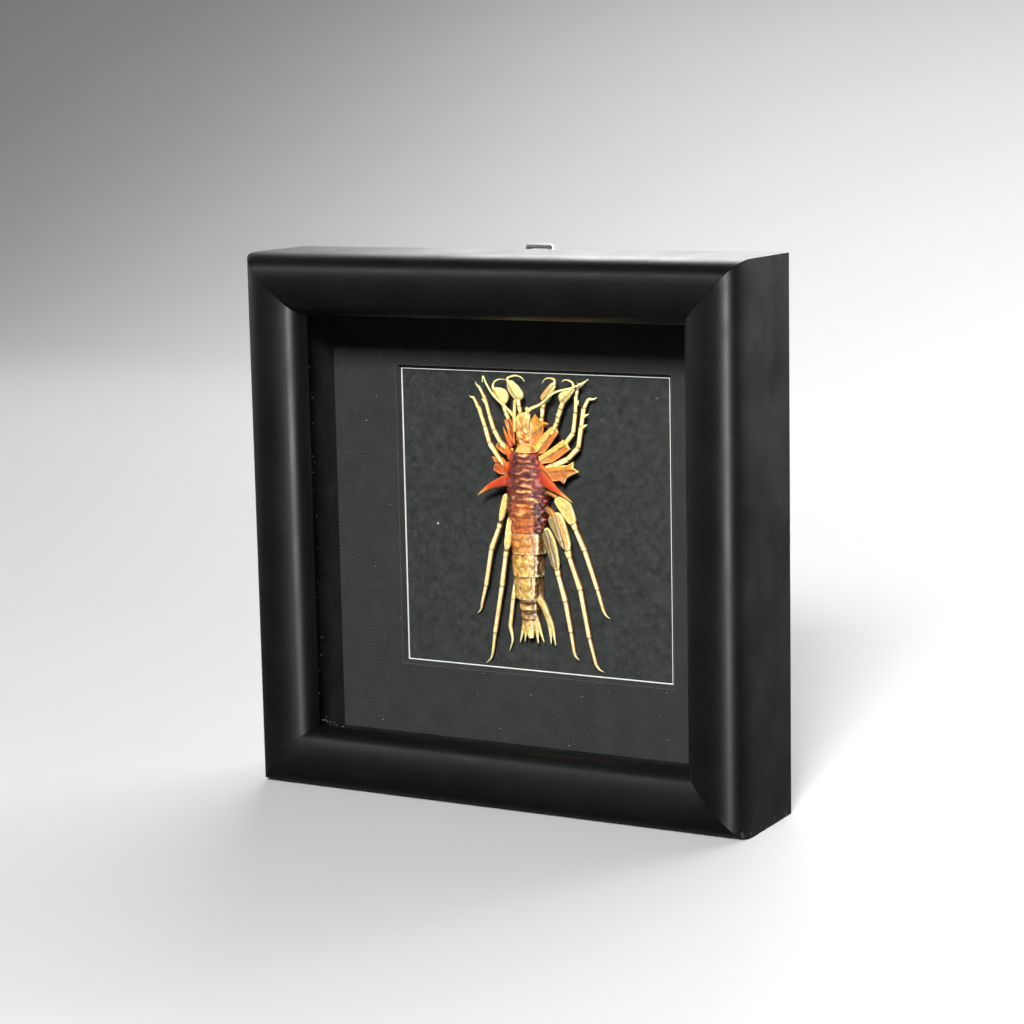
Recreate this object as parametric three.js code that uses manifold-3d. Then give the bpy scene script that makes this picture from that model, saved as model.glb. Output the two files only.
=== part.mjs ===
// A dried amphipod in a square black shadow box, standing on its bottom rail.
// Millimetres, +Z up, +X right; the glass faces -Y. Depths are counted back from the moulding's front edge.
import * as THREE from 'three';
import { mergeVertices } from 'three/addons/utils/BufferGeometryUtils.js';
import Module from 'manifold-3d';

// Frame: a square of four mitred rails.
const FRAME_SIZE = 150;
const HALF = FRAME_SIZE / 2;
const FRAME_DEPTH = 30;
const LIP_WIDTH = 17;
const LIP_DEPTH = 4;
const REAR_WALL = 8.8;
const MITRE_GAP = 0.05;

// Pane, strips and boards, stacked from the lip backwards.
const GLASS_THICK = 2;
const MAT_FRONT = 25.6;
const MAT_THICK = 1.4;
const LINER_THICK = 0.4;
const MOUNT_THICK = 0.8;
const PANEL_THICK = 1.4;
const BOARD_CLEARANCE = 0.3;
const BOARD_SIZE = FRAME_SIZE - 2 * (REAR_WALL + BOARD_CLEARANCE);
const SPACER_INSET = 11.8;
const SPACER_GAP = 0.1;

const GLASS_BACK = LIP_DEPTH + GLASS_THICK;
const MAT_BACK = MAT_FRONT + MAT_THICK;
const LINER_BACK = MAT_BACK + LINER_THICK;
const MOUNT_BACK = LINER_BACK + MOUNT_THICK;
const PANEL_BACK = MOUNT_BACK + PANEL_THICK;

// Window in the mat, a little below the middle, with the liner showing inside it.
const WINDOW = 83.6;
const WINDOW_DROP = 0.3;
const BEVEL_RUN = 1;
const LINER_SHOW = 0.3;

// Fastenings on the back.
const TAB = { long: 8, wide: 5, thick: 0.4, spread: 34 };
const HANGER = { foot: 11, top: 8, bar: 1.2, rise: 1.2, low: 9.3, thick: 1, screwHole: 2 };
const FOLD = { below: 4.7, run: 1.6, out: 2.2 };
const SLOT = { low: 5.2, wide: 6.6, lean: 0.4 };
const SCREW = { shank: 1.6, point: 1.5, head: 3.2, brim: 0.4, headThick: 0.9, length: 6, below: 7 };
const PILOT = { wide: 1.8, deep: 6 };

// Specimen: height of the glue film under it.
const GLUE = 0.05;

const wasm = await Module();
wasm.setup();

const solid = (geometry) => {
  const bare = geometry.clone();
  bare.deleteAttribute('normal');
  bare.deleteAttribute('uv');
  const merged = mergeVertices(bare, 1e-5);
  const vertProperties = new Float32Array(merged.attributes.position.array);
  const triVerts = new Uint32Array(merged.index.array);
  return new wasm.Manifold(new wasm.Mesh({ numProp: 3, vertProperties, triVerts }));
};

const geometryOf = (body) => {
  const mesh = body.getMesh();
  const geometry = new THREE.BufferGeometry();
  geometry.setAttribute('position', new THREE.BufferAttribute(new Float32Array(mesh.vertProperties), 3));
  geometry.setIndex(Array.from(mesh.triVerts));
  geometry.computeVertexNormals();
  return geometry;
};

const matter = (color, roughness, metalness = 0) =>
  new THREE.MeshStandardMaterial({ color, roughness, metalness });

const blackPaint = matter(0x1b1b1c, 0.45);
const clearGlass = matter(0xf2f6f5, 0.05);
const blackCard = matter(0x161616, 0.85);
const charcoalBoard = matter(0x2c2c2d, 0.9);
const whiteCard = matter(0xe9e7e0, 0.85);
const slatePaper = matter(0x282d2e, 0.92);
const hardboard = matter(0x6b4a2f, 0.75);
const steel = matter(0xb9bcc0, 0.35, 1);
const shell = matter(0xc48a3c, 0.45);

const part = new THREE.Group();

const place = (name, geometry, material, parent = part) => {
  const mesh = new THREE.Mesh(geometry, material);
  mesh.name = name;
  parent.add(mesh);
  return mesh;
};

// Moulding section: x is the inset from the outer face, y the depth. Two shoulders meet a cushioned crown.
const mouldingSection = () => {
  const section = new THREE.Shape();
  section.moveTo(0, FRAME_DEPTH);
  section.lineTo(REAR_WALL, FRAME_DEPTH);
  section.lineTo(REAR_WALL, LIP_DEPTH);
  section.lineTo(LIP_WIDTH, LIP_DEPTH);
  section.lineTo(LIP_WIDTH, 3.2);
  section.bezierCurveTo(16.8, 0.6, 15.8, -1.4, 13.8, -2.3);
  section.bezierCurveTo(9.5, -4.3, 4.4, -4.1, 2.4, -2.7);
  section.bezierCurveTo(0.9, -1.6, 0, 1, 0, 5);
  section.lineTo(0, FRAME_DEPTH);
  return section;
};

// The section is drawn out along the bottom rail, each of its points stopping at the mitre.
const railGeometry = () => {
  const geometry = new THREE.ExtrudeGeometry(mouldingSection(), {
    depth: 1, bevelEnabled: false, curveSegments: 9,
  });
  const position = geometry.attributes.position;
  for (let i = 0; i < position.count; i += 1) {
    const inset = position.getX(i);
    const reach = HALF - inset - MITRE_GAP;
    const along = (1 - 2 * position.getZ(i)) * reach;
    position.setXYZ(i, along, position.getY(i), inset - HALF);
  }
  return geometry;
};

// The screw's pilot hole goes into the back of the rail that becomes the top one.
const drilledRail = () => {
  const over = 1;
  const pilot = new THREE.CylinderGeometry(PILOT.wide / 2, PILOT.wide / 2, PILOT.deep + over, 16);
  pilot.translate(0, FRAME_DEPTH - (PILOT.deep - over) / 2, SCREW.below - HALF);
  return geometryOf(solid(railGeometry()).subtract(solid(pilot)));
};

// Quarter turns about the viewing axis take the bottom rail to the left, the top and the right.
const SIDES = ['bottom', 'left', 'top', 'right'];
SIDES.forEach((side, turn) => {
  const geometry = side === 'top' ? drilledRail() : railGeometry();
  place(`rail_${side}`, geometry, blackPaint).rotation.y = turn * Math.PI / 2;
});

const board = (thick) => new THREE.BoxGeometry(BOARD_SIZE, thick, BOARD_SIZE);

place('glass', board(GLASS_THICK), clearGlass).position.y = LIP_DEPTH + GLASS_THICK / 2;

// Strips run the full width at top and bottom; the side strips stand between them.
const spacerThick = SPACER_INSET - REAR_WALL - BOARD_CLEARANCE;
const spacerDeep = MAT_FRONT - GLASS_BACK;
const spacerMiddle = HALF - SPACER_INSET + spacerThick / 2;
SIDES.forEach((side, turn) => {
  const between = side === 'left' || side === 'right';
  const cut = between ? 2 * (spacerThick + SPACER_GAP) : 0;
  const strip = new THREE.BoxGeometry(BOARD_SIZE - cut, spacerDeep, spacerThick);
  strip.translate(0, GLASS_BACK + spacerDeep / 2, -spacerMiddle);
  place(`spacer_${side}`, strip, blackCard).rotation.y = turn * Math.PI / 2;
});

// The mat's window is a square frustum, wider at the front by the bevel.
const matGeometry = () => {
  const corner = Math.SQRT2 / 2;
  const slope = BEVEL_RUN / MAT_THICK;
  const over = 1;
  const narrow = (WINDOW - 2 * slope * over) * corner;
  const wide = (WINDOW + 2 * BEVEL_RUN + 2 * slope * over) * corner;
  const cutter = new THREE.CylinderGeometry(narrow, wide, MAT_THICK + 2 * over, 4);
  cutter.rotateY(Math.PI / 4);
  cutter.translate(0, 0, -WINDOW_DROP);
  return geometryOf(solid(board(MAT_THICK)).subtract(solid(cutter)));
};
place('mat_board', matGeometry(), charcoalBoard).position.y = MAT_FRONT + MAT_THICK / 2;

const linerGeometry = () => {
  const half = BOARD_SIZE / 2;
  const hole = WINDOW / 2 - LINER_SHOW;
  const sheet = new THREE.Shape();
  sheet.moveTo(-half, -half).lineTo(half, -half).lineTo(half, half).lineTo(-half, half).closePath();
  const window = new THREE.Path();
  window.moveTo(-hole, -hole - WINDOW_DROP).lineTo(-hole, hole - WINDOW_DROP);
  window.lineTo(hole, hole - WINDOW_DROP).lineTo(hole, -hole - WINDOW_DROP).closePath();
  sheet.holes.push(window);
  const geometry = new THREE.ExtrudeGeometry(sheet, { depth: LINER_THICK, bevelEnabled: false });
  geometry.rotateX(Math.PI / 2);
  return geometry;
};
place('mat_liner', linerGeometry(), whiteCard).position.y = LINER_BACK;

place('mount_board', board(MOUNT_THICK), slatePaper).position.y = LINER_BACK + MOUNT_THICK / 2;
place('back_panel', board(PANEL_THICK), hardboard).position.y = MOUNT_BACK + PANEL_THICK / 2;

// Two points on each side lie over the panel's edge, against the rabbet wall.
SIDES.forEach((side, turn) => {
  [-1, 1].forEach((end, i) => {
    const tab = new THREE.BoxGeometry(TAB.wide, TAB.thick, TAB.long);
    const low = REAR_WALL + BOARD_CLEARANCE - HALF;
    tab.translate(end * TAB.spread, PANEL_BACK + TAB.thick / 2, low + TAB.long / 2);
    place(`back_tab_${2 * turn + i + 1}`, tab, steel).rotation.y = turn * Math.PI / 2;
  });
});

// Stamped hanger: a trapezoid with a slot for the nail and a hole for its screw, its top bar above the rail.
// Seen from the side it folds out above the screw, which leaves room for the nail behind the bar.
const hangerFace = (deep) => {
  const top = HALF + HANGER.rise;
  const foot = HALF - HANGER.low;
  const slotTop = top - HANGER.bar;
  const slotFoot = HALF - SLOT.low;
  const outline = new THREE.Shape();
  outline.moveTo(-HANGER.foot / 2, foot).lineTo(HANGER.foot / 2, foot);
  outline.lineTo(HANGER.top / 2, top).lineTo(-HANGER.top / 2, top).closePath();
  const slot = new THREE.Path();
  const half = SLOT.wide / 2;
  const lean = half - SLOT.lean;
  slot.moveTo(-half, slotFoot).lineTo(-lean, slotTop).lineTo(lean, slotTop).lineTo(half, slotFoot);
  slot.closePath();
  const hole = new THREE.Path();
  hole.absarc(0, HALF - SCREW.below, HANGER.screwHole / 2, 0, 2 * Math.PI, true);
  outline.holes.push(slot, hole);
  const geometry = new THREE.ExtrudeGeometry(outline, {
    depth: deep, bevelEnabled: false, curveSegments: 16,
  });
  geometry.rotateX(Math.PI / 2);
  return geometry;
};
const hangerEdge = (wide) => {
  const { thick } = HANGER;
  const top = HALF + HANGER.rise + 1;
  const foot = HALF - HANGER.low - 1;
  const bend = HALF - FOLD.below;
  const set = bend + FOLD.run;
  const ease = thick * Math.tan(Math.atan2(FOLD.out, FOLD.run) / 2);
  const edge = new THREE.Shape();
  edge.moveTo(0, foot).lineTo(thick, foot).lineTo(thick, bend - ease).lineTo(FOLD.out + thick, set - ease);
  edge.lineTo(FOLD.out + thick, top).lineTo(FOLD.out, top).lineTo(FOLD.out, set).lineTo(0, bend).closePath();
  const geometry = new THREE.ExtrudeGeometry(edge, { depth: wide, bevelEnabled: false });
  const deepward = new THREE.Vector3(0, 1, 0);
  const upward = new THREE.Vector3(0, 0, 1);
  const sideways = new THREE.Vector3(1, 0, 0);
  geometry.applyMatrix4(new THREE.Matrix4().makeBasis(deepward, upward, sideways));
  return geometry.translate(-wide / 2, 0, 0);
};
const hangerGeometry = () => {
  const over = 1;
  const deep = HANGER.thick + FOLD.out;
  const face = hangerFace(deep + 2 * over).translate(0, deep + over, 0);
  const edge = hangerEdge(HANGER.foot + 2 * over);
  return geometryOf(solid(face).intersect(solid(edge)));
};
place('hanger_plate', hangerGeometry(), steel).position.y = FRAME_DEPTH;

// Pan-head screw, turned on its own axis from tip to head.
const screwGeometry = () => {
  const shank = SCREW.shank / 2;
  const head = SCREW.head / 2;
  const tip = -SCREW.length;
  const profile = [[0, tip], [shank / 2, tip], [shank, tip + SCREW.point], [shank, 0],
    [head, 0], [head, SCREW.brim], [head * 0.7, SCREW.headThick], [0, SCREW.headThick]];
  return new THREE.LatheGeometry(profile.map(([r, y]) => new THREE.Vector2(r, y)), 16);
};
const screw = place('hanger_screw', screwGeometry(), steel);
screw.position.set(0, FRAME_DEPTH + HANGER.thick, HALF - SCREW.below);

// Amphipod, drawn lying on its board: x to the right, y towards the head, z up from the board.
// A loft carries an oval ring along stations of [x, y, z, half width, half height].
const UP = new THREE.Vector3(0, 0, 1);
const loft = (stations, sides) => {
  const last = stations.length - 1;
  const geometry = new THREE.CylinderGeometry(1, 1, 1, sides, last);
  const centres = stations.map(([x, y, z]) => new THREE.Vector3(x, y, z));
  const rings = centres.map((centre, k) => {
    const ahead = centres[Math.min(k + 1, last)].clone().sub(centres[Math.max(k - 1, 0)]).normalize();
    const aside = ahead.clone().cross(UP).normalize();
    const below = ahead.clone().cross(aside);
    return { centre, aside, below };
  });
  const position = geometry.attributes.position;
  for (let i = 0; i < position.count; i += 1) {
    const k = Math.round((0.5 - position.getY(i)) * last);
    const { centre, aside, below } = rings[k];
    const [, , , wide, high] = stations[k];
    const point = centre.clone();
    point.addScaledVector(aside, wide * position.getX(i));
    point.addScaledVector(below, high * position.getZ(i));
    position.setXYZ(i, point.x, point.y, Math.max(point.z, 0));
  }
  return solid(geometry);
};

// A limb has round articles: [x, y, z, radius] at each joint.
const limb = (joints, sides = 6) => loft(joints.map(([x, y, z, r]) => [x, y, z, r, r]), sides);

// Body rings from the neck to the tail: [front, back, half width, height, sideways shift].
const BODY_RINGS = [
  [22.6, 20.4, 3.9, 5.8, 0], [20.4, 17, 5.4, 6.4, -0.2], [17, 13.8, 6.1, 6.8, -0.3],
  [13.8, 10.2, 6.4, 7, -0.3], [10.2, 6.3, 6.4, 7, -0.3], [6.3, 2.3, 6.2, 6.9, -0.4],
  [2.3, -2.1, 5.6, 6.7, -0.4], [-2.1, -8.2, 4.8, 6.3, -0.8], [-8.2, -14.6, 4.3, 5.9, -1.2],
  [-14.6, -21, 3.9, 5.4, -1.2], [-21, -24, 2.9, 4.2, -1.1], [-24, -26.2, 2.7, 3.9, -1],
  [-26.2, -28.6, 2.5, 3.5, -0.9],
];
const BODY_SIDES = 18;
const RING_TUCK = 0.92;
const bodyStations = BODY_RINGS.flatMap(([front, back, wide, height, shift]) => {
  const middle = height * 0.46;
  const high = height - middle;
  const long = front - back;
  return [[0.03, RING_TUCK], [0.3, 0.98], [0.7, 1], [0.97, 0.98]].map(([along, swell]) =>
    [shift, front - along * long, middle, wide * swell, high * swell]);
});
const body = loft(bodyStations, BODY_SIDES);

const head = loft([
  [-0.2, 31.2, 4.6, 0.7, 0.5], [-0.2, 30.2, 4.5, 1.7, 1.1], [-0.2, 28, 4.2, 2.4, 1.8],
  [-0.1, 25, 3.8, 2.9, 2.3], [0, 22, 3.4, 3.3, 2.7],
], 12);

// Two long curved spines stand out from the sides of the fourth ring.
const SPINES = [
  [[-4, 11.9, 4.2, 2, 1.4], [-7.4, 11.5, 5.2, 1.5, 1], [-11, 10, 5.9, 0.8, 0.6], [-14.9, 7.5, 5.5, 0.1, 0.1]],
  [[4, 12, 4.2, 2.2, 1.4], [8, 11.8, 5.4, 1.5, 1], [11.4, 10.2, 5.9, 0.8, 0.6], [14, 7.1, 5, 0.1, 0.1]],
].map((stations) => loft(stations, 8));

// Flat side plates over the roots of the forward legs.
const PLATES = [
  [[2.6, 19, 4.6, 1.3, 0.5], [4.6, 21.6, 4.6, 1.5, 0.5], [8.3, 26.3, 3.6, 1.3, 0.4]],
  [[4.4, 17.2, 4.6, 1.3, 0.5], [7, 19, 4.4, 1.4, 0.5], [11.7, 22.4, 3.5, 1.3, 0.4]],
  [[4.8, 13.6, 4.6, 1.6, 0.5], [9.6, 14, 4, 2.2, 0.5], [13, 14.6, 3.3, 1.7, 0.4], [15, 15.2, 3, 0.3, 0.2]],
  [[2.6, 21, 4.4, 1.5, 0.5], [3.9, 25, 4.4, 2, 0.5], [4.7, 29, 4, 1.5, 0.4]],
  [[-4.2, 19.2, 4.6, 1.4, 0.5], [-7.5, 20.2, 4.2, 1.1, 0.4], [-10.2, 20.9, 3.6, 0.3, 0.2]],
  [[-5, 15.6, 4.6, 1.8, 0.5], [-8, 15.8, 4, 1.9, 0.4], [-10.8, 16.4, 3.5, 0.6, 0.3]],
  [[-2.4, 20, 4.8, 0.9, 0.6], [-4.8, 23.4, 4.9, 0.7, 0.5], [-6.7, 26.6, 4.8, 0.2, 0.2]],
].map((stations) => loft(stations, 8));

// Four claws: an arm, an oval hand and a hooked finger.
const CLAWS = [
  { arm: [[-3, 24, 3.6, 0.8], [-5, 29.6, 3.8, 0.75], [-6.7, 32.9, 3.6, 0.7]],
    hand: [[-6.4, 32.4], [-9.8, 37.4]],
    finger: [[-9.7, 37], [-9.7, 39], [-8, 40], [-6, 39.6]] },
  { arm: [[-1.6, 26, 3.8, 0.8], [-1.8, 31, 4, 0.75], [-2.3, 33.9, 3.7, 0.7]],
    hand: [[-2, 33.4], [-5.3, 38.8]],
    finger: [[-5.2, 38.4], [-4.9, 40.2], [-3.2, 40.8], [-1.4, 40.3], [-0.6, 39.2]] },
  { arm: [[3.2, 26, 3.8, 0.8], [4.4, 30.5, 3.8, 0.7], [5.3, 33.7, 3.6, 0.7]],
    hand: [[5, 33.2], [8.6, 38.8]],
    finger: [[8.6, 38.4], [8.5, 40], [7, 40.6], [5.6, 40.1], [4.9, 39]] },
  { arm: [[7, 24, 3.6, 0.7], [9, 27.6, 3.5, 0.75], [10.2, 30.6, 3.5, 0.75], [11, 33.3, 3.5, 0.7]],
    hand: [[10.8, 32.8], [13.8, 38.5]],
    finger: [[13.8, 38.2], [13.9, 39.8], [12.6, 40.4], [11.2, 39.6]] },
];
const HAND_SWELL = [[0, 0.5], [0.2, 1.3], [0.45, 1.7], [0.75, 1.2], [1, 0.5]];
const CLAW_HEIGHT = 3.6;
const clawSolids = CLAWS.flatMap(({ arm, hand: [wrist, knuckle], finger }) => {
  const hand = HAND_SWELL.map(([along, wide]) => {
    const x = THREE.MathUtils.lerp(wrist[0], knuckle[0], along);
    const y = THREE.MathUtils.lerp(wrist[1], knuckle[1], along);
    return [x, y, CLAW_HEIGHT, wide, wide * 0.8];
  });
  const thin = finger.length - 1;
  const hook = finger.map(([x, y], i) => [x, y, CLAW_HEIGHT, THREE.MathUtils.lerp(0.55, 0.12, i / thin)]);
  return [limb(arm), loft(hand, 8), limb(hook, 5)];
});

const ANTENNAE = [
  [[-1, 27.5, 5, 0.8], [-2.8, 29.4, 4.9, 0.7], [-5.6, 32, 5, 0.35], [-9.6, 35.4, 5, 0.3],
    [-12, 38.9, 5, 0.25], [-12.9, 40.5, 4.8, 0.2], [-13.3, 38.9, 4.6, 0.12]],
  [[0.6, 28, 5, 0.8], [0.6, 31, 5, 0.65], [5, 33.5, 5, 0.35], [9.4, 36.8, 5, 0.3],
    [15.2, 38.5, 4.6, 0.25], [19.2, 40.6, 4, 0.12]],
].map((joints) => limb(joints, 5));

// Forward and rear walking legs, from the flank to the tip of the toe.
const LEGS = [
  [[-3.6, 18.4, 3.4, 0.8], [-8, 22.1, 4, 0.75], [-10.1, 25.6, 4, 0.75], [-12, 29.4, 3, 0.6],
    [-13.6, 33.9, 2.5, 0.6], [-15.7, 37.1, 2, 0.4], [-17.2, 38.6, 1.5, 0.12]],
  [[-4, 14.4, 3.4, 0.9], [-7.9, 16.8, 4, 0.8], [-11.6, 21.9, 4, 0.8], [-13.2, 26.2, 3.5, 0.7],
    [-15.5, 31.1, 2.5, 0.65], [-17.6, 34.2, 2, 0.4], [-19.2, 34.6, 1.5, 0.12]],
  [[5, 17.6, 3.4, 0.9], [11.1, 22.3, 3, 0.8], [13.9, 25.7, 3, 0.75], [14.7, 31.2, 3, 0.6],
    [14.7, 35.8, 2.5, 0.6], [15.3, 38.9, 2, 0.4], [17.4, 40.1, 1.5, 0.12]],
  [[4, 15, 3.4, 0.9], [8, 16.6, 3.8, 0.9], [12.1, 18.5, 3, 0.85], [15.4, 21.7, 3, 0.8],
    [16.4, 27.5, 3, 0.75], [17, 32.5, 2.5, 0.7], [18.2, 35.1, 2, 0.45], [20.6, 35.6, 1.5, 0.12]],
  [[-4, 8.6, 3.4, 1.1], [-6.8, 6.4, 4.4, 1.1], [-8.4, 0.2, 4.8, 0.95], [-8.7, -1.2, 4.8, 0.75],
    [-11.7, -7.5, 4, 0.85], [-14.3, -18.3, 3, 0.65], [-16.3, -23.7, 2, 0.45], [-18.5, -26.9, 1, 0.12]],
  [[-3, 4.6, 3.4, 1.1], [-5.2, 1.4, 4.4, 1.1], [-6.5, -7.5, 4.8, 0.95], [-6.9, -9.2, 4.8, 0.75],
    [-8.6, -17.7, 4, 0.85], [-12, -31.6, 2.5, 0.65], [-13.3, -36.7, 1.5, 0.45], [-16.2, -41.1, 0.8, 0.12]],
  [[-2.5, -8, 2.6, 0.9], [-4.6, -15.8, 3, 0.85], [-5.7, -21.3, 3, 0.75], [-7.4, -29.6, 2, 0.6],
    [-8.5, -37.1, 1, 0.12]],
];
// The right rear legs turn their broad first articles to the viewer: [x, y, z, half width, half height].
const BROAD_LEGS = [
  [[4, 9.4, 3.2, 1.1, 0.9], [8.4, 8.4, 3.8, 1.3, 0.8], [11.6, 4.4, 4, 1.5, 0.8], [14, 1.1, 4, 1.2, 0.8],
    [14.6, -0.5, 4, 0.8, 0.7], [17.1, -6.3, 3.5, 0.85, 0.75], [20.3, -17.1, 2.5, 0.65, 0.6],
    [21.5, -22.9, 1.5, 0.45, 0.45], [23.3, -25.3, 1, 0.12, 0.12]],
  [[3.6, 5.4, 3.2, 1.2, 0.9], [7.2, 3.6, 3.8, 1.6, 0.8], [9.6, -1, 4, 1.9, 0.8], [12, -6.5, 4, 1.3, 0.8],
    [12.6, -8.4, 4, 0.8, 0.7], [15.3, -17.4, 3, 0.85, 0.75], [17.3, -30.9, 2, 0.65, 0.6],
    [18.9, -38.5, 1.2, 0.45, 0.45], [21.1, -40.4, 0.8, 0.12, 0.12]],
  [[2, 0.4, 2.8, 1.2, 0.9], [4.6, -2.4, 3, 1.5, 0.8], [6.4, -6.8, 3.4, 1.75, 0.8],
    [8.5, -12.1, 3.5, 1.1, 0.8], [8.8, -13.7, 3.5, 0.8, 0.7], [10.6, -20.9, 3, 0.85, 0.75],
    [11.7, -29.7, 2, 0.65, 0.6], [12.2, -35.7, 1.2, 0.45, 0.45], [13.5, -37.7, 0.8, 0.12, 0.12]],
];

// Tail fan: the tail piece, the forked side blades and the longer right-hand pair.
const TAIL = [
  [[-0.9, -27, 2.6, 1.6, 1], [-0.7, -30, 2.8, 1.4, 0.7], [-0.4, -32.2, 2.8, 0.8, 0.4]],
  [[-2, -25, 2, 0.9, 0.8], [-2.9, -29, 2.2, 0.8, 0.6], [-4.4, -33.9, 2, 0.15, 0.15]],
  [[-1.8, -27, 2.2, 0.7, 0.6], [-2.1, -30, 2.5, 0.6, 0.5], [-2.6, -33.4, 2.5, 0.15, 0.15]],
  [[0.3, -25, 2.2, 0.8, 0.7], [1.2, -29.4, 2.5, 0.7, 0.5], [1.6, -33.6, 2.5, 0.2, 0.15]],
  [[0.4, -25, 2.2, 0.8, 0.7], [1.9, -29, 2.4, 0.7, 0.5], [3.4, -33.2, 2.4, 0.2, 0.15]],
  [[0.4, -19, 2.6, 1.1, 0.8], [2.8, -21.6, 2.6, 1.1, 0.7], [5, -27.4, 2.2, 0.8, 0.6],
    [5.4, -33.6, 2, 0.2, 0.15]],
  [[3.2, -22.6, 2.6, 0.9, 0.6], [5.6, -27.6, 2.2, 0.8, 0.6], [6.8, -33.8, 2, 0.2, 0.15]],
].map((stations) => loft(stations, 6));

const legSolids = [...LEGS.map((joints) => limb(joints)), ...BROAD_LEGS.map((stations) => loft(stations, 8))];
const amphipod = [head, ...SPINES, ...PLATES, ...clawSolids, ...ANTENNAE, ...legSolids, ...TAIL]
  .reduce((whole, piece) => whole.add(piece), body);

const specimen = new THREE.Group();
specimen.position.y = LINER_BACK - GLUE;
specimen.rotation.x = Math.PI / 2;
part.add(specimen);
place('amphipod', geometryOf(amphipod), shell, specimen);

// The origin is under the middle of the whole part.
const bounds = new THREE.Box3().setFromObject(part, true);
const middle = bounds.getCenter(new THREE.Vector3());
part.position.set(-middle.x, -middle.y, -bounds.min.z);

export default part;
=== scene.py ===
"""Looks of a dried amphipod in a square black shadow box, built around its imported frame. Metres, +Z up."""
import math

import bmesh
import bpy
import numpy as np
from mathutils import Matrix, Vector, noise


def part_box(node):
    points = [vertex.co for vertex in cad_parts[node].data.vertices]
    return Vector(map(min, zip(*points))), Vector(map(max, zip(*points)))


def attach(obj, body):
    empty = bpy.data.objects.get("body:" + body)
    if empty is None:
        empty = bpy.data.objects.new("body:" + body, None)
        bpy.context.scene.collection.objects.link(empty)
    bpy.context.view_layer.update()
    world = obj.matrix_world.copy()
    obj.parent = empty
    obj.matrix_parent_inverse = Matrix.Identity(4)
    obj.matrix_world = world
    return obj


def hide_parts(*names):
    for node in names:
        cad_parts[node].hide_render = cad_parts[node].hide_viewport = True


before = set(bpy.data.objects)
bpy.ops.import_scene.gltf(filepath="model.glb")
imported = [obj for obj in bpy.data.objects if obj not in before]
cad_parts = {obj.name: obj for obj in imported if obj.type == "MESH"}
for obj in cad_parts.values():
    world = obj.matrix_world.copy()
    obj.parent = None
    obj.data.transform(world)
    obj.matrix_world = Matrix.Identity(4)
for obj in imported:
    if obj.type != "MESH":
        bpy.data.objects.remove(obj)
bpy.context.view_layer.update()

# Camera: a long lens to the right of the box and a little above its middle, turned and rolled as the
# photograph was taken. The picture is square.
MM = 0.001
camera = bpy.data.objects.new("camera", bpy.data.cameras.new("camera"))
camera.data.lens = 94.016
camera.data.sensor_width = 36.0
camera.location = (348.65 * MM, -627.75 * MM, 194.30 * MM)
camera.rotation_euler = [math.radians(angle) for angle in (80.927, 1.166, 28.891)]
bpy.context.scene.collection.objects.link(camera)
bpy.context.scene.camera = camera

# Studio: a pale floor that sweeps up behind the box, a soft key from the front right that reaches in under
# the lip, a broad lamp behind for the floor, and four panels that only give the lacquer its highlights.
FLOOR_TONE = (0.46, 0.46, 0.455, 1)
SWEEP = {"half": 30.0, "front": -30.0, "bend": 0.95, "radius": 0.5, "top": 1.7, "steps": 12}
# place, aim, size, watts, whether a lamp fills the shadows, whether it shines in the lacquer
LAMPS = {
    "key": ((0.40, -1.09, 0.76), (0, 0.01, 0.075), (0.26, 0.26), 38, True, False),
    "back": ((-0.05, 1.2, 0.8), (0, 0, 0.12), (1.5, 0.7), 26, True, True),
    "edges": ((0.72, -1.0, 0.075), (0, 0, 0.075), (0.62, 0.14), 28, False, True),
    "side": ((0.62, 0.85, 0.75), (0.07, 0, 0.1), (0.5, 0.5), 60, False, True),
    "flank": ((-1.1, -0.1, 0.4), (0, 0, 0.075), (0.9, 0.5), 7, False, True),
    "crown": ((-0.62, -1.0, 0.80), (0, 0, 0.1), (0.1, 0.1), 5, False, True),
}


def put(tree, kind, inputs=None, **settings):
    """Adds a node to a tree; an input is either a value or the socket that feeds it."""
    made = tree.nodes.new(kind)
    for key, value in settings.items():
        setattr(made, key, value)
    for key, value in (inputs or {}).items():
        if isinstance(value, bpy.types.NodeSocket):
            tree.links.new(value, made.inputs[key])
        else:
            made.inputs[key].default_value = value
    return made


def new_finish(name, **values):
    """A material with one Principled shader; returns it with its tree, shader and object coordinates."""
    finish = bpy.data.materials.new(name)
    finish.use_nodes = True
    tree = finish.node_tree
    shader = tree.nodes["Principled BSDF"]
    for key, value in values.items():
        shader.inputs[key.replace("_", " ")].default_value = value
    place = put(tree, "ShaderNodeTexCoord").outputs["Object"]
    return finish, tree, shader, place


def grain(tree, place, scale, detail=3.0, roughness=0.5):
    """Grey noise with about so many waves to the metre."""
    inputs = {"Vector": place, "Scale": scale, "Detail": detail, "Roughness": roughness}
    return put(tree, "ShaderNodeTexNoise", inputs).outputs[0]


def spread(tree, value, low, high, start=0.0, end=1.0):
    """Stretches a grey value from start..end to low..high, and stops it there."""
    inputs = {"Value": value, "From Min": start, "From Max": end, "To Min": low, "To Max": high}
    return put(tree, "ShaderNodeMapRange", inputs).outputs["Result"]


def mixed(tree, factor, first, second, mode="MIX"):
    """Mixes two colours, each a value or a socket."""
    inputs = {0: factor, 6: first, 7: second}
    return put(tree, "ShaderNodeMix", inputs, data_type="RGBA", blend_type=mode).outputs[2]


def sums(tree, operation, *values):
    """One arithmetic node in a tree."""
    return put(tree, "ShaderNodeMath", dict(enumerate(values)), operation=operation).outputs[0]


def vector(tree, **axes):
    """A vector of the axes that are given, each a value or a socket."""
    return put(tree, "ShaderNodeCombineXYZ", axes).outputs["Vector"]


def feed(shader, label, socket):
    """Links a socket to one of the shader's inputs."""
    shader.id_data.links.new(socket, shader.inputs[label])


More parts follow.
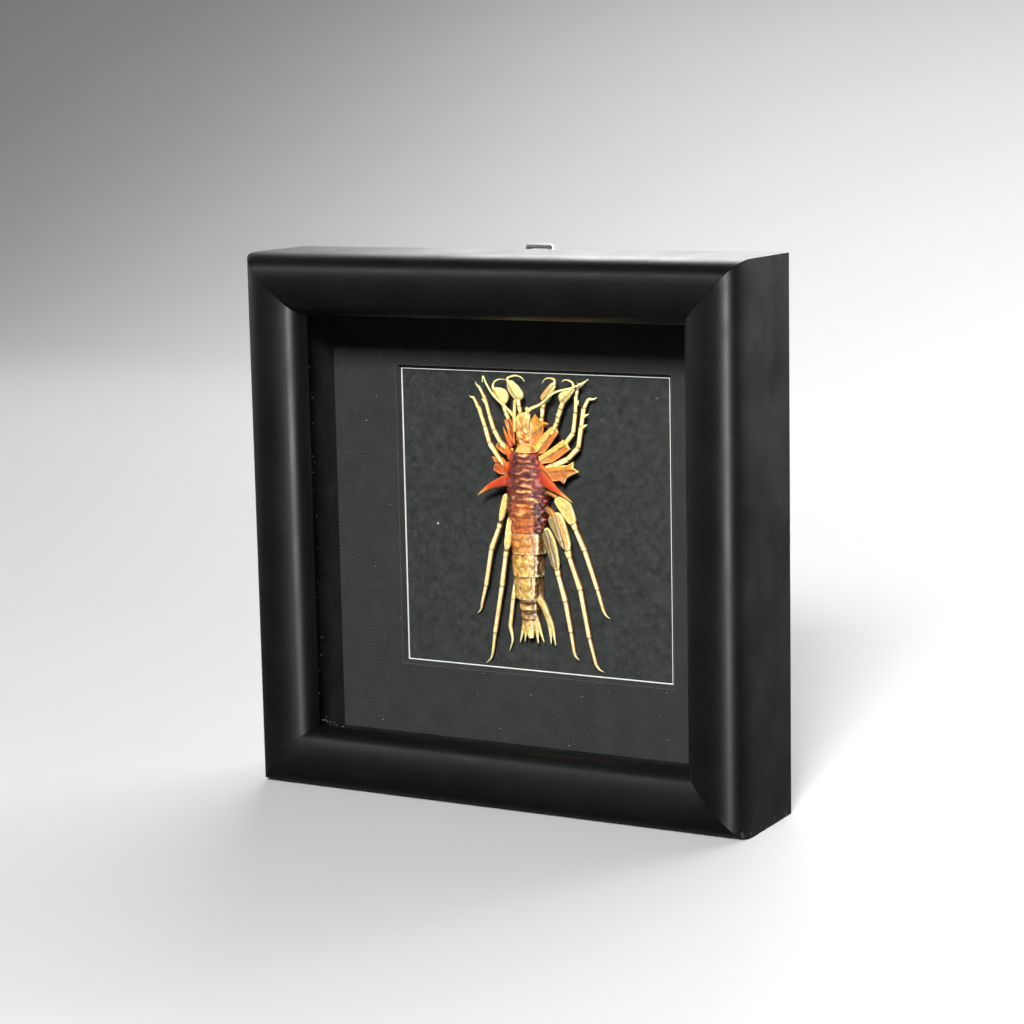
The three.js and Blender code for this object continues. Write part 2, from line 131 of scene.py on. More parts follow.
def relief(tree, shader, height, strength, depth):
    """Turns a grey value into bumps of a depth in metres on the shader."""
    inputs = {"Height": height, "Strength": strength, "Distance": depth}
    feed(shader, "Normal", put(tree, "ShaderNodeBump", inputs).outputs["Normal"])


def drawn(name, points, faces, edges=()):
    """A mesh of points with faces or edges."""
    mesh = bpy.data.meshes.new(name)
    mesh.from_pydata(points, edges, faces)
    return mesh


def mesh_piece(name, mesh, *finishes):
    """Puts a mesh into the scene as an object at the origin."""
    piece = bpy.data.objects.new(name, mesh)
    for finish in finishes:
        mesh.materials.append(finish)
    bpy.context.scene.collection.objects.link(piece)
    return piece


floor_line = [(SWEEP["front"], 0.0)]
for step in range(SWEEP["steps"] + 1):
    turn = step / SWEEP["steps"] * math.pi / 2
    floor_line.append((SWEEP["bend"] + SWEEP["radius"] * math.sin(turn),
                       SWEEP["radius"] * (1 - math.cos(turn))))
floor_line.append((SWEEP["bend"] + SWEEP["radius"], SWEEP["top"]))
floor_points = [(side * SWEEP["half"], y, z) for y, z in floor_line for side in (-1, 1)]
floor_faces = [(2 * i, 2 * i + 1, 2 * i + 3, 2 * i + 2) for i in range(len(floor_line) - 1)]
floor_mesh = drawn("floor", floor_points, floor_faces)
floor_mesh.shade_smooth()
floor_finish, tree, shader, place = new_finish("pale_floor", Roughness=0.7)
floor_shade = mixed(tree, grain(tree, place, 9.0), FLOOR_TONE, [0.97 * part for part in FLOOR_TONE[:3]] + [1])
feed(shader, "Base Color", floor_shade)
floor = mesh_piece("floor", floor_mesh, floor_finish)
floor.visible_diffuse = False
floor.visible_glossy = False

for name, (spot, aim, size, watts, fills, shines) in LAMPS.items():
    light = bpy.data.lights.new(name, "AREA")
    light.shape = "RECTANGLE"
    light.size, light.size_y = size
    light.energy = watts
    holder = bpy.data.objects.new(name, light)
    holder.location = spot
    holder.visible_diffuse = fills
    holder.visible_glossy = shines
    toward = Vector(aim) - Vector(spot)
    holder.rotation_euler = toward.to_track_quat("-Z", "Y").to_euler()
    bpy.context.scene.collection.objects.link(holder)

sky = bpy.data.worlds.new("studio_air")
sky.use_nodes = True
sky.node_tree.nodes["Background"].inputs["Color"].default_value = (0.95, 0.97, 1.0, 1)
sky.node_tree.nodes["Background"].inputs["Strength"].default_value = 0.1
bpy.context.scene.world = sky
bpy.context.scene.view_settings.view_transform = "Standard"

# Rails: four lengths of cushion moulding in black satin lacquer, mitred at the corners. The section is swept
# along each side and cut back at the mitres; the lip covers the edge of the glass.
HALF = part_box("rail_right")[1].x
RAIL_GAP = 0.05 * MM
RAIL_CUTS = 49
# the section in millimetres from the outer face inward and back, as lines and curves; it is 30 deep
LIP_BACK = 30 * MM
LIP_STEPS = 10
LIP = [((17, 4), (17, 3.2)), ((17, 3.2), (16.8, 0.6), (15.8, -1.4), (13.8, -2.3)),
       ((13.8, -2.3), (9.5, -4.22), (5.2, -4.08), (3.1, -2.9)), ((3.1, -2.9), (1.1, -1.6), (0, 1), (0, 5)),
       ((0, 5), (0, 29.4)), ((0, 29.4), (0, 29.8), (0.2, 30), (0.6, 30)), ((0.6, 30), (8.4, 30)),
       ((8.4, 30), (8.7, 30), (8.8, 29.9), (8.8, 29.6)), ((8.8, 29.6), (8.8, 4)), ((8.8, 4), (17, 4))]
LACQUER = (0.0010, 0.0010, 0.0010, 1)
LACQUER_THIN = (0.0026, 0.0026, 0.0026, 1)
PRIMER = (0.12, 0.115, 0.105, 1)


def rule_tree(name, sizes):
    """A geometry tree that takes a mesh and named sizes, with its input node."""
    made = bpy.data.node_groups.new(name, "GeometryNodeTree")
    made.interface.new_socket("Geometry", in_out="INPUT", socket_type="NodeSocketGeometry")
    for label, kind in sizes.items():
        made.interface.new_socket(label, in_out="INPUT", socket_type="NodeSocket" + kind)
    made.interface.new_socket("Geometry", in_out="OUTPUT", socket_type="NodeSocketGeometry")
    return made, put(made, "NodeGroupInput").outputs


def close_tree(made, geometry, finish):
    """Ends a geometry tree in real geometry with a material."""
    whole = put(made, "GeometryNodeRealizeInstances", {"Geometry": geometry}).outputs["Geometry"]
    dressed = put(made, "GeometryNodeSetMaterial", {"Geometry": whole, "Material": finish})
    put(made, "NodeGroupOutput", {"Geometry": dressed.outputs["Geometry"]})


def evaluated(piece):
    """The mesh of an object after its modifiers."""
    return bpy.data.meshes.new_from_object(piece.evaluated_get(bpy.context.evaluated_depsgraph_get()))


def by_rule(name, seed_mesh, made, sizes):
    """Runs a geometry tree on a mesh and returns the outcome as a plain object."""
    piece = mesh_piece(name, seed_mesh)
    rule = piece.modifiers.new("rule", "NODES")
    rule.node_group = made
    for item in made.interface.items_tree:
        if item.in_out == "INPUT" and item.name in sizes:
            rule[item.identifier] = sizes[item.name]
    outcome = evaluated(piece)
    piece.modifiers.remove(rule)
    piece.data = outcome
    outcome.name = name
    return piece


def smooth(mesh, degrees):
    """Shades a mesh smooth, but for edges sharper than an angle."""
    mesh.shade_smooth()
    mesh.set_sharp_from_angle(angle=math.radians(degrees))


def bezier(points, steps):
    """Points along a line or a cubic curve, without its last one."""
    if len(points) == 2:
        return [points[0]]
    a, b, c, d = [np.array(point, float) for point in points]
    turns = [step / steps for step in range(steps)]
    return [tuple(a * (1 - t) ** 3 + 3 * b * t * (1 - t) ** 2 + 3 * c * t * t * (1 - t) + d * t ** 3)
            for t in turns]


lacquer, tree, shader, place = new_finish("black_satin_lacquer", Specular_IOR_Level=0.25)
run = put(tree, "ShaderNodeAttribute", attribute_name="run").outputs["Fac"]
inset = put(tree, "ShaderNodeAttribute", attribute_name="inset").outputs["Fac"]
strokes = vector(tree, X=run, Y=inset)
streak = put(tree, "ShaderNodeMapping", {"Vector": strokes, "Scale": (60, 2600, 1)}).outputs["Vector"]
streaks = grain(tree, streak, 1.0, 4.0)
pores = grain(tree, place, 2600.0, 3.0)
haze = grain(tree, place, 55.0, 4.0, 0.6)
tone = mixed(tree, spread(tree, streaks, 0, 1, 0.35, 0.75), LACQUER, LACQUER_THIN)
ends = sums(tree, "ABSOLUTE", sums(tree, "SUBTRACT", run, 0.5))
corner = spread(tree, ends, 0, 1, 0.488, 0.4995)
rim = spread(tree, inset, 1, 0, 0.6 * MM, 3.5 * MM)
rubbed = sums(tree, "MULTIPLY", corner, rim)
chips = spread(tree, grain(tree, place, 420.0, 4.0), 0, 1, 0.60, 0.68)
rubbed = sums(tree, "MULTIPLY", rubbed, chips)
feed(shader, "Base Color", mixed(tree, rubbed, tone, PRIMER))
feed(shader, "Roughness", spread(tree, haze, 0.38, 0.50, 0.3, 0.7))
skin = sums(tree, "MULTIPLY_ADD", streaks, 0.45, pores)
relief(tree, shader, skin, 0.34, 0.07 * MM)

moulding, given = rule_tree("moulding_rail", {"Half Size": "Float", "Gap": "Float", "Quarter Turns": "Float",
                                              "Depth Start": "Float", "Cuts": "Int"})
spot = put(moulding, "GeometryNodeInputPosition").outputs[0]
axes = put(moulding, "ShaderNodeSeparateXYZ", {0: spot}).outputs
marked = given["Geometry"]
for label, value in (("inset", axes["X"]), ("depth", axes["Y"])):
    marked = put(moulding, "GeometryNodeStoreNamedAttribute",
                 {"Geometry": marked, "Name": label, "Value": value}, data_type="FLOAT",
                 domain="POINT").outputs["Geometry"]
section = put(moulding, "GeometryNodeMeshToCurve", {"Mesh": marked}).outputs["Curve"]
path = put(moulding, "GeometryNodeCurvePrimitiveLine",
           {"Start": (0, 0, 0), "End": (1, 0, 0)}).outputs["Curve"]
path = put(moulding, "GeometryNodeResampleCurve", {"Curve": path, "Count": given["Cuts"]}).outputs["Curve"]
share = put(moulding, "GeometryNodeSplineParameter").outputs["Factor"]
path = put(moulding, "GeometryNodeStoreNamedAttribute", {"Geometry": path, "Name": "run", "Value": share},
           data_type="FLOAT", domain="POINT").outputs["Geometry"]
swept = put(moulding, "GeometryNodeCurveToMesh", {"Curve": path, "Profile Curve": section, "Fill Caps": True})
read = {label: put(moulding, "GeometryNodeInputNamedAttribute", {"Name": label}, data_type="FLOAT").outputs[0]
        for label in ("inset", "depth", "run")}
reach = sums(moulding, "SUBTRACT", given["Half Size"], read["inset"])
reach = sums(moulding, "SUBTRACT", reach, given["Gap"])
along = sums(moulding, "MULTIPLY_ADD", read["run"], 2.0, -1.0)
along = sums(moulding, "MULTIPLY", along, reach)
back = sums(moulding, "ADD", read["depth"], given["Depth Start"])
lift = sums(moulding, "SUBTRACT", read["inset"], given["Half Size"])
spot = vector(moulding, X=along, Y=back, Z=lift)
shaped = put(moulding, "GeometryNodeSetPosition", {"Geometry": swept.outputs["Mesh"], "Position": spot})
angle = sums(moulding, "MULTIPLY", given["Quarter Turns"], math.pi / 2)
turn = vector(moulding, Y=angle)
raise_up = vector(moulding, Z=given["Half Size"])
turned = put(moulding, "GeometryNodeTransform", {"Geometry": shaped.outputs["Geometry"], "Rotation": turn,
                                                 "Translation": raise_up})
close_tree(moulding, turned.outputs["Geometry"], lacquer)

section_points = [(x * MM, y * MM, 0) for piece in LIP for x, y in bezier(piece, LIP_STEPS)]
section_edges = [(i, (i + 1) % len(section_points)) for i in range(len(section_points))]
rail_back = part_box("rail_bottom")[1].y
for quarter, side in enumerate(("bottom", "left", "top", "right")):
    seed = drawn("moulding_section", section_points, [], section_edges)
    rail = by_rule(side + "_rail", seed, moulding,
                   {"Half Size": HALF, "Gap": RAIL_GAP, "Quarter Turns": quarter,
                    "Depth Start": rail_back - LIP_BACK, "Cuts": RAIL_CUTS})
    smooth(rail.data, 34)
    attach(rail, "root")
    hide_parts("rail_" + side)

# Glass: one clear pane with ground edges, pressed against the back of the lip. It is picture glass that
# hardly mirrors, so the box is seen into without a veil; its edges are faintly green.
GLASS_BEVEL = 0.25 * MM


def as_mesh(name, shape):
    """Ends the editing of a shape and returns it as a mesh."""
    mesh = bpy.data.meshes.new(name)
    shape.to_mesh(mesh)
    shape.free()
    return mesh


def slab(name, node, bevel, finish):
    """A flat board in the place of a CAD node, with its edges broken by a small bevel."""
    low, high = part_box(node)
    shape = bmesh.new()
    bmesh.ops.create_cube(shape, size=1.0)
    for vert in shape.verts:
        vert.co = [low[i] if vert.co[i] < 0 else high[i] for i in range(3)]
    bmesh.ops.bevel(shape, geom=shape.edges[:], offset=bevel, segments=2, profile=0.5, affect="EDGES")
    piece = mesh_piece(name, as_mesh(name, shape), finish)
    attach(piece, "root")
    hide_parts(node)
    return piece


pane, tree, shader, _ = new_finish("clear_picture_glass", Transmission_Weight=1.0, Roughness=0.0, IOR=1.12,
                                   Base_Color=(0.985, 0.995, 0.99, 1))
ray = put(tree, "ShaderNodeLightPath")
clear = put(tree, "ShaderNodeBsdfTransparent", {"Color": (0.97, 0.98, 0.975, 1)})
lit = sums(tree, "MAXIMUM", ray.outputs["Is Shadow Ray"], ray.outputs["Is Diffuse Ray"])
passing = put(tree, "ShaderNodeMixShader", {0: lit, 1: shader.outputs[0], 2: clear.outputs[0]})
tree.links.new(passing.outputs[0], tree.nodes["Material Output"].inputs["Surface"])
slab("glass_pane", "glass", GLASS_BEVEL, pane)

# Spacers: four strips of black card that line the inside of the box and hold the glass off the mat. The top
# and bottom ones run the full width; the side ones stand between them.
CARD_BEVEL = 0.12 * MM
card, tree, shader, place = new_finish("matte_black_card", Specular_IOR_Level=0.0)
fibres = grain(tree, place, 2400.0, 4.0)
cloud = grain(tree, place, 120.0, 3.0)
feed(shader, "Base Color",
     mixed(tree, spread(tree, cloud, 0, 1, 0.3, 0.7), (0.0105, 0.0105, 0.011, 1), (0.018, 0.018, 0.0185, 1)))
feed(shader, "Roughness", spread(tree, fibres, 0.78, 0.95))
relief(tree, shader, fibres, 0.35, 0.08 * MM)
for side in ("bottom", "left", "top", "right"):
    slab(side + "_spacer", "spacer_" + side, CARD_BEVEL, card)

# Mat: charcoal mat board with a square window cut on a bevel. The knife left a pale burr along the top of the
# cut, and the board is pressed flat behind the spacers.
mat_low, mat_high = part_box("mat_board")
MIDDLE = (mat_low.z + mat_high.z) / 2
BOARD = mat_high.x
WINDOW_DROP = 0.3 * MM
WINDOW_MIDDLE = MIDDLE - WINDOW_DROP
WINDOW_TOP = 42.8 * MM
WINDOW_FOOT = 41.8 * MM
BURR = 0.07 * MM
BURR_HALF = 0.08 * MM
BURR_FACES = range(8, 16)


def outward(mesh):
    """Turns all faces of a closed mesh outward."""
    shape = bmesh.new()
    shape.from_mesh(mesh)
    bmesh.ops.recalc_face_normals(shape, faces=shape.faces[:])
    shape.to_mesh(mesh)
    shape.free()
    return mesh


def square_ring(name, loops):
    """A board with a square window: each loop is a half size, a depth and the height of its middle."""
    points = [(x * half, y, middle + z * half) for half, y, middle in loops
              for x, z in ((-1, -1), (1, -1), (1, 1), (-1, 1))]
    count = len(loops)
    faces = [(4 * k + i, 4 * k + (i + 1) % 4, 4 * ((k + 1) % count) + (i + 1) % 4, 4 * ((k + 1) % count) + i)
             for k in range(count) for i in range(4)]
    return outward(drawn(name, points, faces))


mat_mesh = square_ring("mat", [
    (BOARD, mat_high.y, MIDDLE), (BOARD, mat_low.y, MIDDLE),
    (WINDOW_TOP + 2 * BURR_HALF, mat_low.y, WINDOW_MIDDLE),
    (WINDOW_TOP + BURR_HALF, mat_low.y - BURR, WINDOW_MIDDLE),
    (WINDOW_TOP, mat_low.y, WINDOW_MIDDLE), (WINDOW_FOOT, mat_high.y, WINDOW_MIDDLE),
])
charcoal, tree, shader, place = new_finish("charcoal_mat_board", Specular_IOR_Level=0.0)
felt = grain(tree, place, 1500.0, 5.0, 0.65)
cloud = grain(tree, place, 160.0, 4.0)
specks = put(tree, "ShaderNodeTexVoronoi", {"Vector": place, "Scale": 420.0}).outputs["Distance"]
shade = mixed(tree, spread(tree, cloud, 0, 1, 0.3, 0.7), (0.0265, 0.026, 0.0255, 1),
              (0.0325, 0.032, 0.031, 1))
shade = mixed(tree, spread(tree, felt, 0, 1, 0.60, 0.78), shade, (0.06, 0.06, 0.06, 1))
shade = mixed(tree, spread(tree, specks, 0.7, 0, 0.015, 0.045), shade, (0.20, 0.19, 0.17, 1))
feed(shader, "Base Color", shade)
feed(shader, "Roughness", spread(tree, felt, 0.80, 0.98))
relief(tree, shader, felt, 0.5, 0.15 * MM)
cut_edge, tree, shader, place = new_finish("cut_board_edge", Roughness=0.9, Specular_IOR_Level=0.0)
feed(shader, "Base Color",
     mixed(tree, grain(tree, place, 900.0, 4.0), (0.035, 0.035, 0.034, 1), (0.10, 0.098, 0.092, 1)))
mat = mesh_piece("mat", mat_mesh, charcoal, cut_edge)
for face in mat_mesh.polygons:
    face.material_index = 1 if face.index in BURR_FACES else 0
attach(mat, "root")
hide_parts("mat_board")

# Liner: thin white card under the mat that shows as a fine line inside the window. It is cut square and glued
# to the back of the mat.
liner_low, liner_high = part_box("mat_liner")
LINER_HALF = 41.6 * MM
LINER_EASE, LINER_EASE_DEEP = 0.04 * MM, 0.05 * MM
liner_mesh = square_ring("liner", [
    (BOARD, liner_high.y, MIDDLE), (BOARD, liner_low.y, MIDDLE),
    (LINER_HALF + LINER_EASE, liner_low.y, WINDOW_MIDDLE),
    (LINER_HALF, liner_low.y + LINER_EASE_DEEP, WINDOW_MIDDLE),
    (LINER_HALF, liner_high.y, WINDOW_MIDDLE),
])
white_card, tree, shader, place = new_finish("white_card", Roughness=0.85, Specular_IOR_Level=0.0)
feed(shader, "Base Color",
     mixed(tree, grain(tree, place, 700.0, 4.0), (0.84, 0.83, 0.80, 1), (0.66, 0.65, 0.62, 1)))
relief(tree, shader, grain(tree, place, 2500.0, 3.0), 0.3, 0.05 * MM)
liner = mesh_piece("liner", liner_mesh, white_card)
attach(liner, "root")
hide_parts("mat_liner")

# Mount: dark slate paper on stiff board, clouded and fibrous, with a few pale flecks. The animal is glued
# to it, and it lies behind the liner.
MOUNT_BEVEL = 0.08 * MM
slate, tree, shader, place = new_finish("slate_paper", Specular_IOR_Level=0.0)
fibre_map = put(tree, "ShaderNodeMapping", {"Vector": place, "Scale": (1, 1, 1.5)}).outputs["Vector"]
fibres = grain(tree, fibre_map, 1300.0, 5.0, 0.65)
cloud = grain(tree, place, 520.0, 5.0, 0.65)
specks = put(tree, "ShaderNodeTexVoronoi", {"Vector": place, "Scale": 330.0}).outputs["Distance"]
shade = mixed(tree, spread(tree, cloud, 0, 1, 0.32, 0.68), (0.0200, 0.0212, 0.0206, 1),
              (0.040, 0.0415, 0.040, 1))
shade = mixed(tree, spread(tree, fibres, 0, 1, 0.58, 0.78), shade, (0.085, 0.087, 0.083, 1))
shade = mixed(tree, spread(tree, specks, 0.8, 0, 0.015, 0.05), shade, (0.26, 0.25, 0.22, 1))
feed(shader, "Base Color", shade)
feed(shader, "Roughness", spread(tree, fibres, 0.82, 0.98))
relief(tree, shader, fibres, 0.6, 0.2 * MM)
slab("mount", "mount_board", MOUNT_BEVEL, slate)

# Back panel: a sheet of brown hardboard that closes the box, dropped into the rabbet behind the boards. Its
# pressed fibres run every way and its edges are a little rubbed.
PANEL_BEVEL = 0.2 * MM
hardboard, tree, shader, place = new_finish("brown_hardboard", Specular_IOR_Level=0.35)
fibres = grain(tree, place, 900.0, 6.0, 0.7)
cloud = grain(tree, place, 45.0, 4.0)
threads = put(tree, "ShaderNodeTexVoronoi", {"Vector": place, "Scale": 650.0}, feature="DISTANCE_TO_EDGE")
shade = mixed(tree, spread(tree, cloud, 0, 1, 0.3, 0.7), (0.105, 0.052, 0.024, 1), (0.175, 0.095, 0.047, 1))
shade = mixed(tree, spread(tree, fibres, 0, 1, 0.52, 0.76), shade, (0.30, 0.185, 0.10, 1))
shade = mixed(tree, spread(tree, threads.outputs["Distance"], 0.5, 0, 0, 0.06), shade,
              (0.06, 0.028, 0.012, 1))
feed(shader, "Base Color", shade)
feed(shader, "Roughness", spread(tree, fibres, 0.5, 0.75))
relief(tree, shader, fibres, 0.4, 0.12 * MM)
slab("hardboard_back", "back_panel", PANEL_BEVEL, hardboard)

# Body of the amphipod: thirteen dried shell rings from the neck to the tail, each tucked under the one before
# it. The back is wine red and barred in front, orange in the middle and tan behind, with a waxy shine.
# Painted shade darkens the gaps between rings, the hollows, furrows and undersides and the right flank, and
# painted highlights lie on the crests of the bars.
GLUE = 0.05 * MM
BOARD_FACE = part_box("mount_board")[0].y - GLUE


def dye(red, green, blue):
    """A colour as the eye names it, made linear."""
    part = np.array([red, green, blue], float) / 255
    return np.where(part <= 0.04045, part / 12.92, ((part + 0.055) / 1.055) ** 2.4)


CREAM, PALE, HORN = dye(246, 222, 140), dye(255, 246, 186), dye(196, 138, 60)
MAROON, PLUM, BROWN = dye(58, 16, 10), dye(116, 30, 26), dye(78, 44, 20)
# front, back, half width, height, sideways shift, then the colours of the ridge, the right flank, the left
# flank and the bars; the right flank is darker than the left on most rings, partly the shell's own maroon and
# partly painted shade, as that flank lies in shadow, and the bars are partly pale shell, partly painted
# highlight
RINGS = [
    (22.4, 20.2, 3.6, 5.9, 0.0, dye(190, 112, 44), dye(176, 92, 34), dye(176, 92, 34), None),
    (20.4, 17.0, 5.4, 6.5, -0.2, dye(136, 40, 26), dye(150, 36, 22), dye(150, 44, 22), dye(230, 160, 104)),
    (17.0, 13.8, 6.1, 6.8, -0.3, dye(118, 32, 24), dye(156, 38, 24), dye(160, 44, 20), dye(228, 160, 104)),
    (13.8, 10.2, 6.4, 7.0, -0.3, dye(122, 34, 20), dye(172, 46, 20), dye(176, 52, 18), dye(230, 162, 96)),
    (10.2, 6.3, 6.4, 7.0, -0.3, dye(138, 56, 24), dye(100, 28, 20), dye(96, 36, 18), dye(228, 168, 96)),
    (6.3, 2.3, 6.2, 6.9, -0.4, dye(198, 100, 26), dye(92, 26, 18), dye(108, 42, 18), dye(236, 160, 66)),
    (2.3, -2.1, 5.6, 6.7, -0.4, dye(214, 114, 26), dye(96, 30, 18), dye(186, 88, 22), None),
    (-2.1, -8.2, 4.8, 6.3, -0.8, dye(222, 152, 68), dye(206, 148, 84), dye(200, 108, 36), None),
    (-8.2, -14.6, 4.3, 5.9, -1.2, dye(230, 184, 96), dye(196, 146, 74), dye(210, 158, 78), None),
    (-14.6, -21.0, 3.9, 5.4, -1.2, dye(230, 188, 104), dye(196, 150, 80), dye(214, 168, 90), None),
    (-21.0, -24.0, 2.9, 4.2, -1.1, dye(228, 188, 108), dye(130, 88, 42), dye(224, 184, 106), None),
    (-24.0, -26.2, 2.7, 3.9, -1.0, dye(170, 122, 62), dye(110, 72, 34), dye(196, 152, 84), None),
    (-26.2, -28.6, 2.5, 3.5, -0.9, dye(230, 192, 112), dye(150, 106, 54), dye(230, 194, 114), None),
]
# lines of [turn to the right, share of the length] where a tail ring is creased and browned, partly the
# shell's marks and partly painted shade in the grooves
CREASES = {
    7: [[(-0.75, 0.62), (-0.45, 0.80), (0.05, 0.62), (0.6, 0.66)], [(-0.25, 0.42), (-0.15, 0.60)],
        [(0.5, 0.2), (0.8, 0.9)]],
    8: [[(-0.9, 0.25), (-0.35, 0.62), (-0.1, 0.95)], [(-0.35, 0.62), (0.25, 0.52), (0.7, 0.62)],
        [(1.0, 0.1), (0.95, 0.9)]],
    9: [[(-0.9, 0.12), (-0.5, 0.5), (-0.15, 0.70), (0.4, 0.64), (0.66, 0.5)], [(0.68, 0.02), (0.66, 0.6)],
        [(-0.2, 0.02), (0.0, 0.14), (0.25, 0.04)]],
}
# share of the ring's length and of its girth: the tucked front, the back with its flared edge, the inner lip
RING_LINE = [(-0.14, 0.84), (-0.05, 0.89), (0.02, 0.93), (0.06, 0.955), (0.1, 0.972), (0.15, 0.984),
             (0.2, 0.991), (0.27, 0.996), (0.34, 0.998), (0.41, 1.0), (0.48, 1.0), (0.55, 1.0), (0.62, 1.0),
             (0.69, 1.002), (0.76, 1.005), (0.83, 1.008), (0.89, 1.014), (0.94, 1.02), (0.975, 1.02),
             (1.0, 1.0), (1.0, 0.95), (0.97, 0.90)]
RING_SIDES = 96
# height of a ring's axis as a share of its height, and how much of its size it takes from its neighbours
RING_AXIS = 0.46
RING_BLEND = 0.7


def eased(stations, count):
    """More stations on a smooth line through the given ones."""
    rows = np.array(stations, float)
    chord = np.concatenate([[0], np.cumsum(np.linalg.norm(np.diff(rows[:, :3], axis=0), axis=1))])
    chord /= chord[-1]
    slopes = np.gradient(rows, chord, axis=0)
    at = np.linspace(0, 1, count)
    k = np.clip(np.searchsorted(chord, at, side="right") - 1, 0, len(chord) - 2)
    span = (chord[k + 1] - chord[k])[:, None]
    t = (at - chord[k])[:, None] / span
    out = (rows[k] * (2 * t ** 3 - 3 * t ** 2 + 1) + slopes[k] * span * (t ** 3 - 2 * t ** 2 + t)
           + rows[k + 1] * (3 * t ** 2 - 2 * t ** 3) + slopes[k + 1] * span * (t ** 3 - t ** 2))
    out[:, 3:] = np.maximum(out[:, 3:], 0.04)
    return out


def loft(stations, sides, square=2.0):
    """An oval tube through stations of [x, y, z, half width, half height], closed at both ends.

    Returns points, faces, and each point's share along the tube and turn around it, which is 0 on top."""
    rows = np.array(stations, float)
    count = len(rows)
    ahead = np.gradient(rows[:, :3], axis=0)
    ahead /= np.linalg.norm(ahead, axis=1, keepdims=True)
    aside = np.cross(ahead, (0, 0, 1))
    aside /= np.linalg.norm(aside, axis=1, keepdims=True)
    above = np.cross(aside, ahead)
    turn = 2 * np.pi * np.arange(sides) / sides
    across = np.sign(np.sin(turn)) * np.abs(np.sin(turn)) ** (2 / square)
    upward = np.sign(np.cos(turn)) * np.abs(np.cos(turn)) ** (2 / square)
    points = (rows[:, None, :3] + aside[:, None] * (rows[:, 3, None] * across)[..., None]
              + above[:, None] * (rows[:, 4, None] * upward)[..., None]).reshape(-1, 3)
    points = np.vstack([points, rows[:1, :3], rows[-1:, :3]])
    faces = [(k * sides + j, k * sides + (j + 1) % sides, (k + 1) * sides + (j + 1) % sides,
              (k + 1) * sides + j) for k in range(count - 1) for j in range(sides)]
    first, last = count * sides, count * sides + 1
    faces += [(first, (j + 1) % sides, j) for j in range(sides)]
    faces += [(last, (count - 1) * sides + j, (count - 1) * sides + (j + 1) % sides) for j in range(sides)]
    share = np.concatenate([np.repeat(np.linspace(0, 1, count), sides), [0, 1]])
    turns = np.concatenate([np.tile((turn + np.pi) % (2 * np.pi) - np.pi, count), [0, 0]])
    return points, faces, share, turns


def between(value, start, end):
    """0 before start, 1 after end, smooth between."""
    t = np.clip((value - start) / (end - start), 0, 1)
    return t * t * (3 - 2 * t)


def bell(value, middle, width):
    """1 at the middle, falling off over the width."""
    return np.exp(-((value - middle) / width) ** 2)


def tinted(first, second, share):
    """A colour between two, for each point."""
    return first + (second - first) * np.asarray(share)[..., None]


def mottled(points, size, seed):
    """Smooth noise from 0 to 1 at each point, with patches of a size in millimetres."""
    shift = Vector((seed * 7.3, seed * 3.1, seed * 5.7))
    return np.array([0.5 + 0.5 * noise.noise(Vector(point) / size + shift) for point in points])


def near(across, along, line, width):
    """1 on a line drawn over a ring, falling off over a width; both run in millimetres."""
    closest = np.full(len(across), 1e9)
    for (u0, v0), (u1, v1) in zip(line, line[1:]):
        du, dv = u1 - u0, v1 - v0
        t = np.clip(((across - u0) * du + (along - v0) * dv) / (du * du + dv * dv), 0, 1)
        closest = np.minimum(closest, np.hypot(across - u0 - t * du, along - v0 - t * dv))
    return np.exp(-(closest / width) ** 2)


def grown_piece(name, parts, finish):
    """Joins parts drawn on the board, in millimetres, to one mesh with a colour and a shine at each point."""
    points = np.vstack([part[0] for part in parts])
    points[:, 2] = np.maximum(points[:, 2], 0.0)
    faces, start = [], 0
    for part in parts:
        faces += [tuple(start + i for i in face) for face in part[1]]
        start += len(part[0])
    placed = np.stack([points[:, 0] * MM, BOARD_FACE - points[:, 2] * MM, MIDDLE + points[:, 1] * MM], 1)
    mesh = drawn(name, placed.tolist(), faces)
    colours = np.hstack([np.vstack([part[2] for part in parts]), np.ones((start, 1))])
    shine = np.concatenate([np.broadcast_to(part[3], len(part[0])) for part in parts])
    tints = mesh.attributes.new("tint", "FLOAT_COLOR", "POINT")
    tints.data.foreach_set("color", colours.astype(np.float32).ravel())
    shines = mesh.attributes.new("shine", "FLOAT", "POINT")
    shines.data.foreach_set("value", shine.astype(np.float32))
    mesh.shade_smooth()
    piece = mesh_piece(name, mesh, finish)
    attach(piece, "root")
    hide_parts("amphipod")


shell, tree, shader, place = new_finish("dried_shell", Subsurface_Weight=0.3, Subsurface_Scale=0.7 * MM)
tint = put(tree, "ShaderNodeAttribute", attribute_name="tint").outputs["Color"]
shine = put(tree, "ShaderNodeAttribute", attribute_name="shine").outputs["Fac"]
patches = grain(tree, place, 1100.0, 4.0, 0.6)
pits = grain(tree, place, 5200.0, 3.0)
stain = mixed(tree, shine, (1.0, 0.94, 0.84, 1), (0.44, 0.34, 0.24, 1))
stain = mixed(tree, spread(tree, patches, 0, 1, 0.3, 0.68), stain, (1.12, 1.10, 1.06, 1))
shade = mixed(tree, 1.0, tint, stain, "MULTIPLY")
feed(shader, "Base Color", shade)
gloss = spread(tree, shine, 0.5, 0.08)
feed(shader, "Specular IOR Level", spread(tree, shine, 0.12, 1.0))
feed(shader, "Roughness", sums(tree, "MULTIPLY_ADD", spread(tree, patches, -0.05, 0.10), 1.0, gloss))
relief(tree, shader, sums(tree, "MULTIPLY_ADD", patches, 1.6, pits), 0.35, 0.2 * MM)

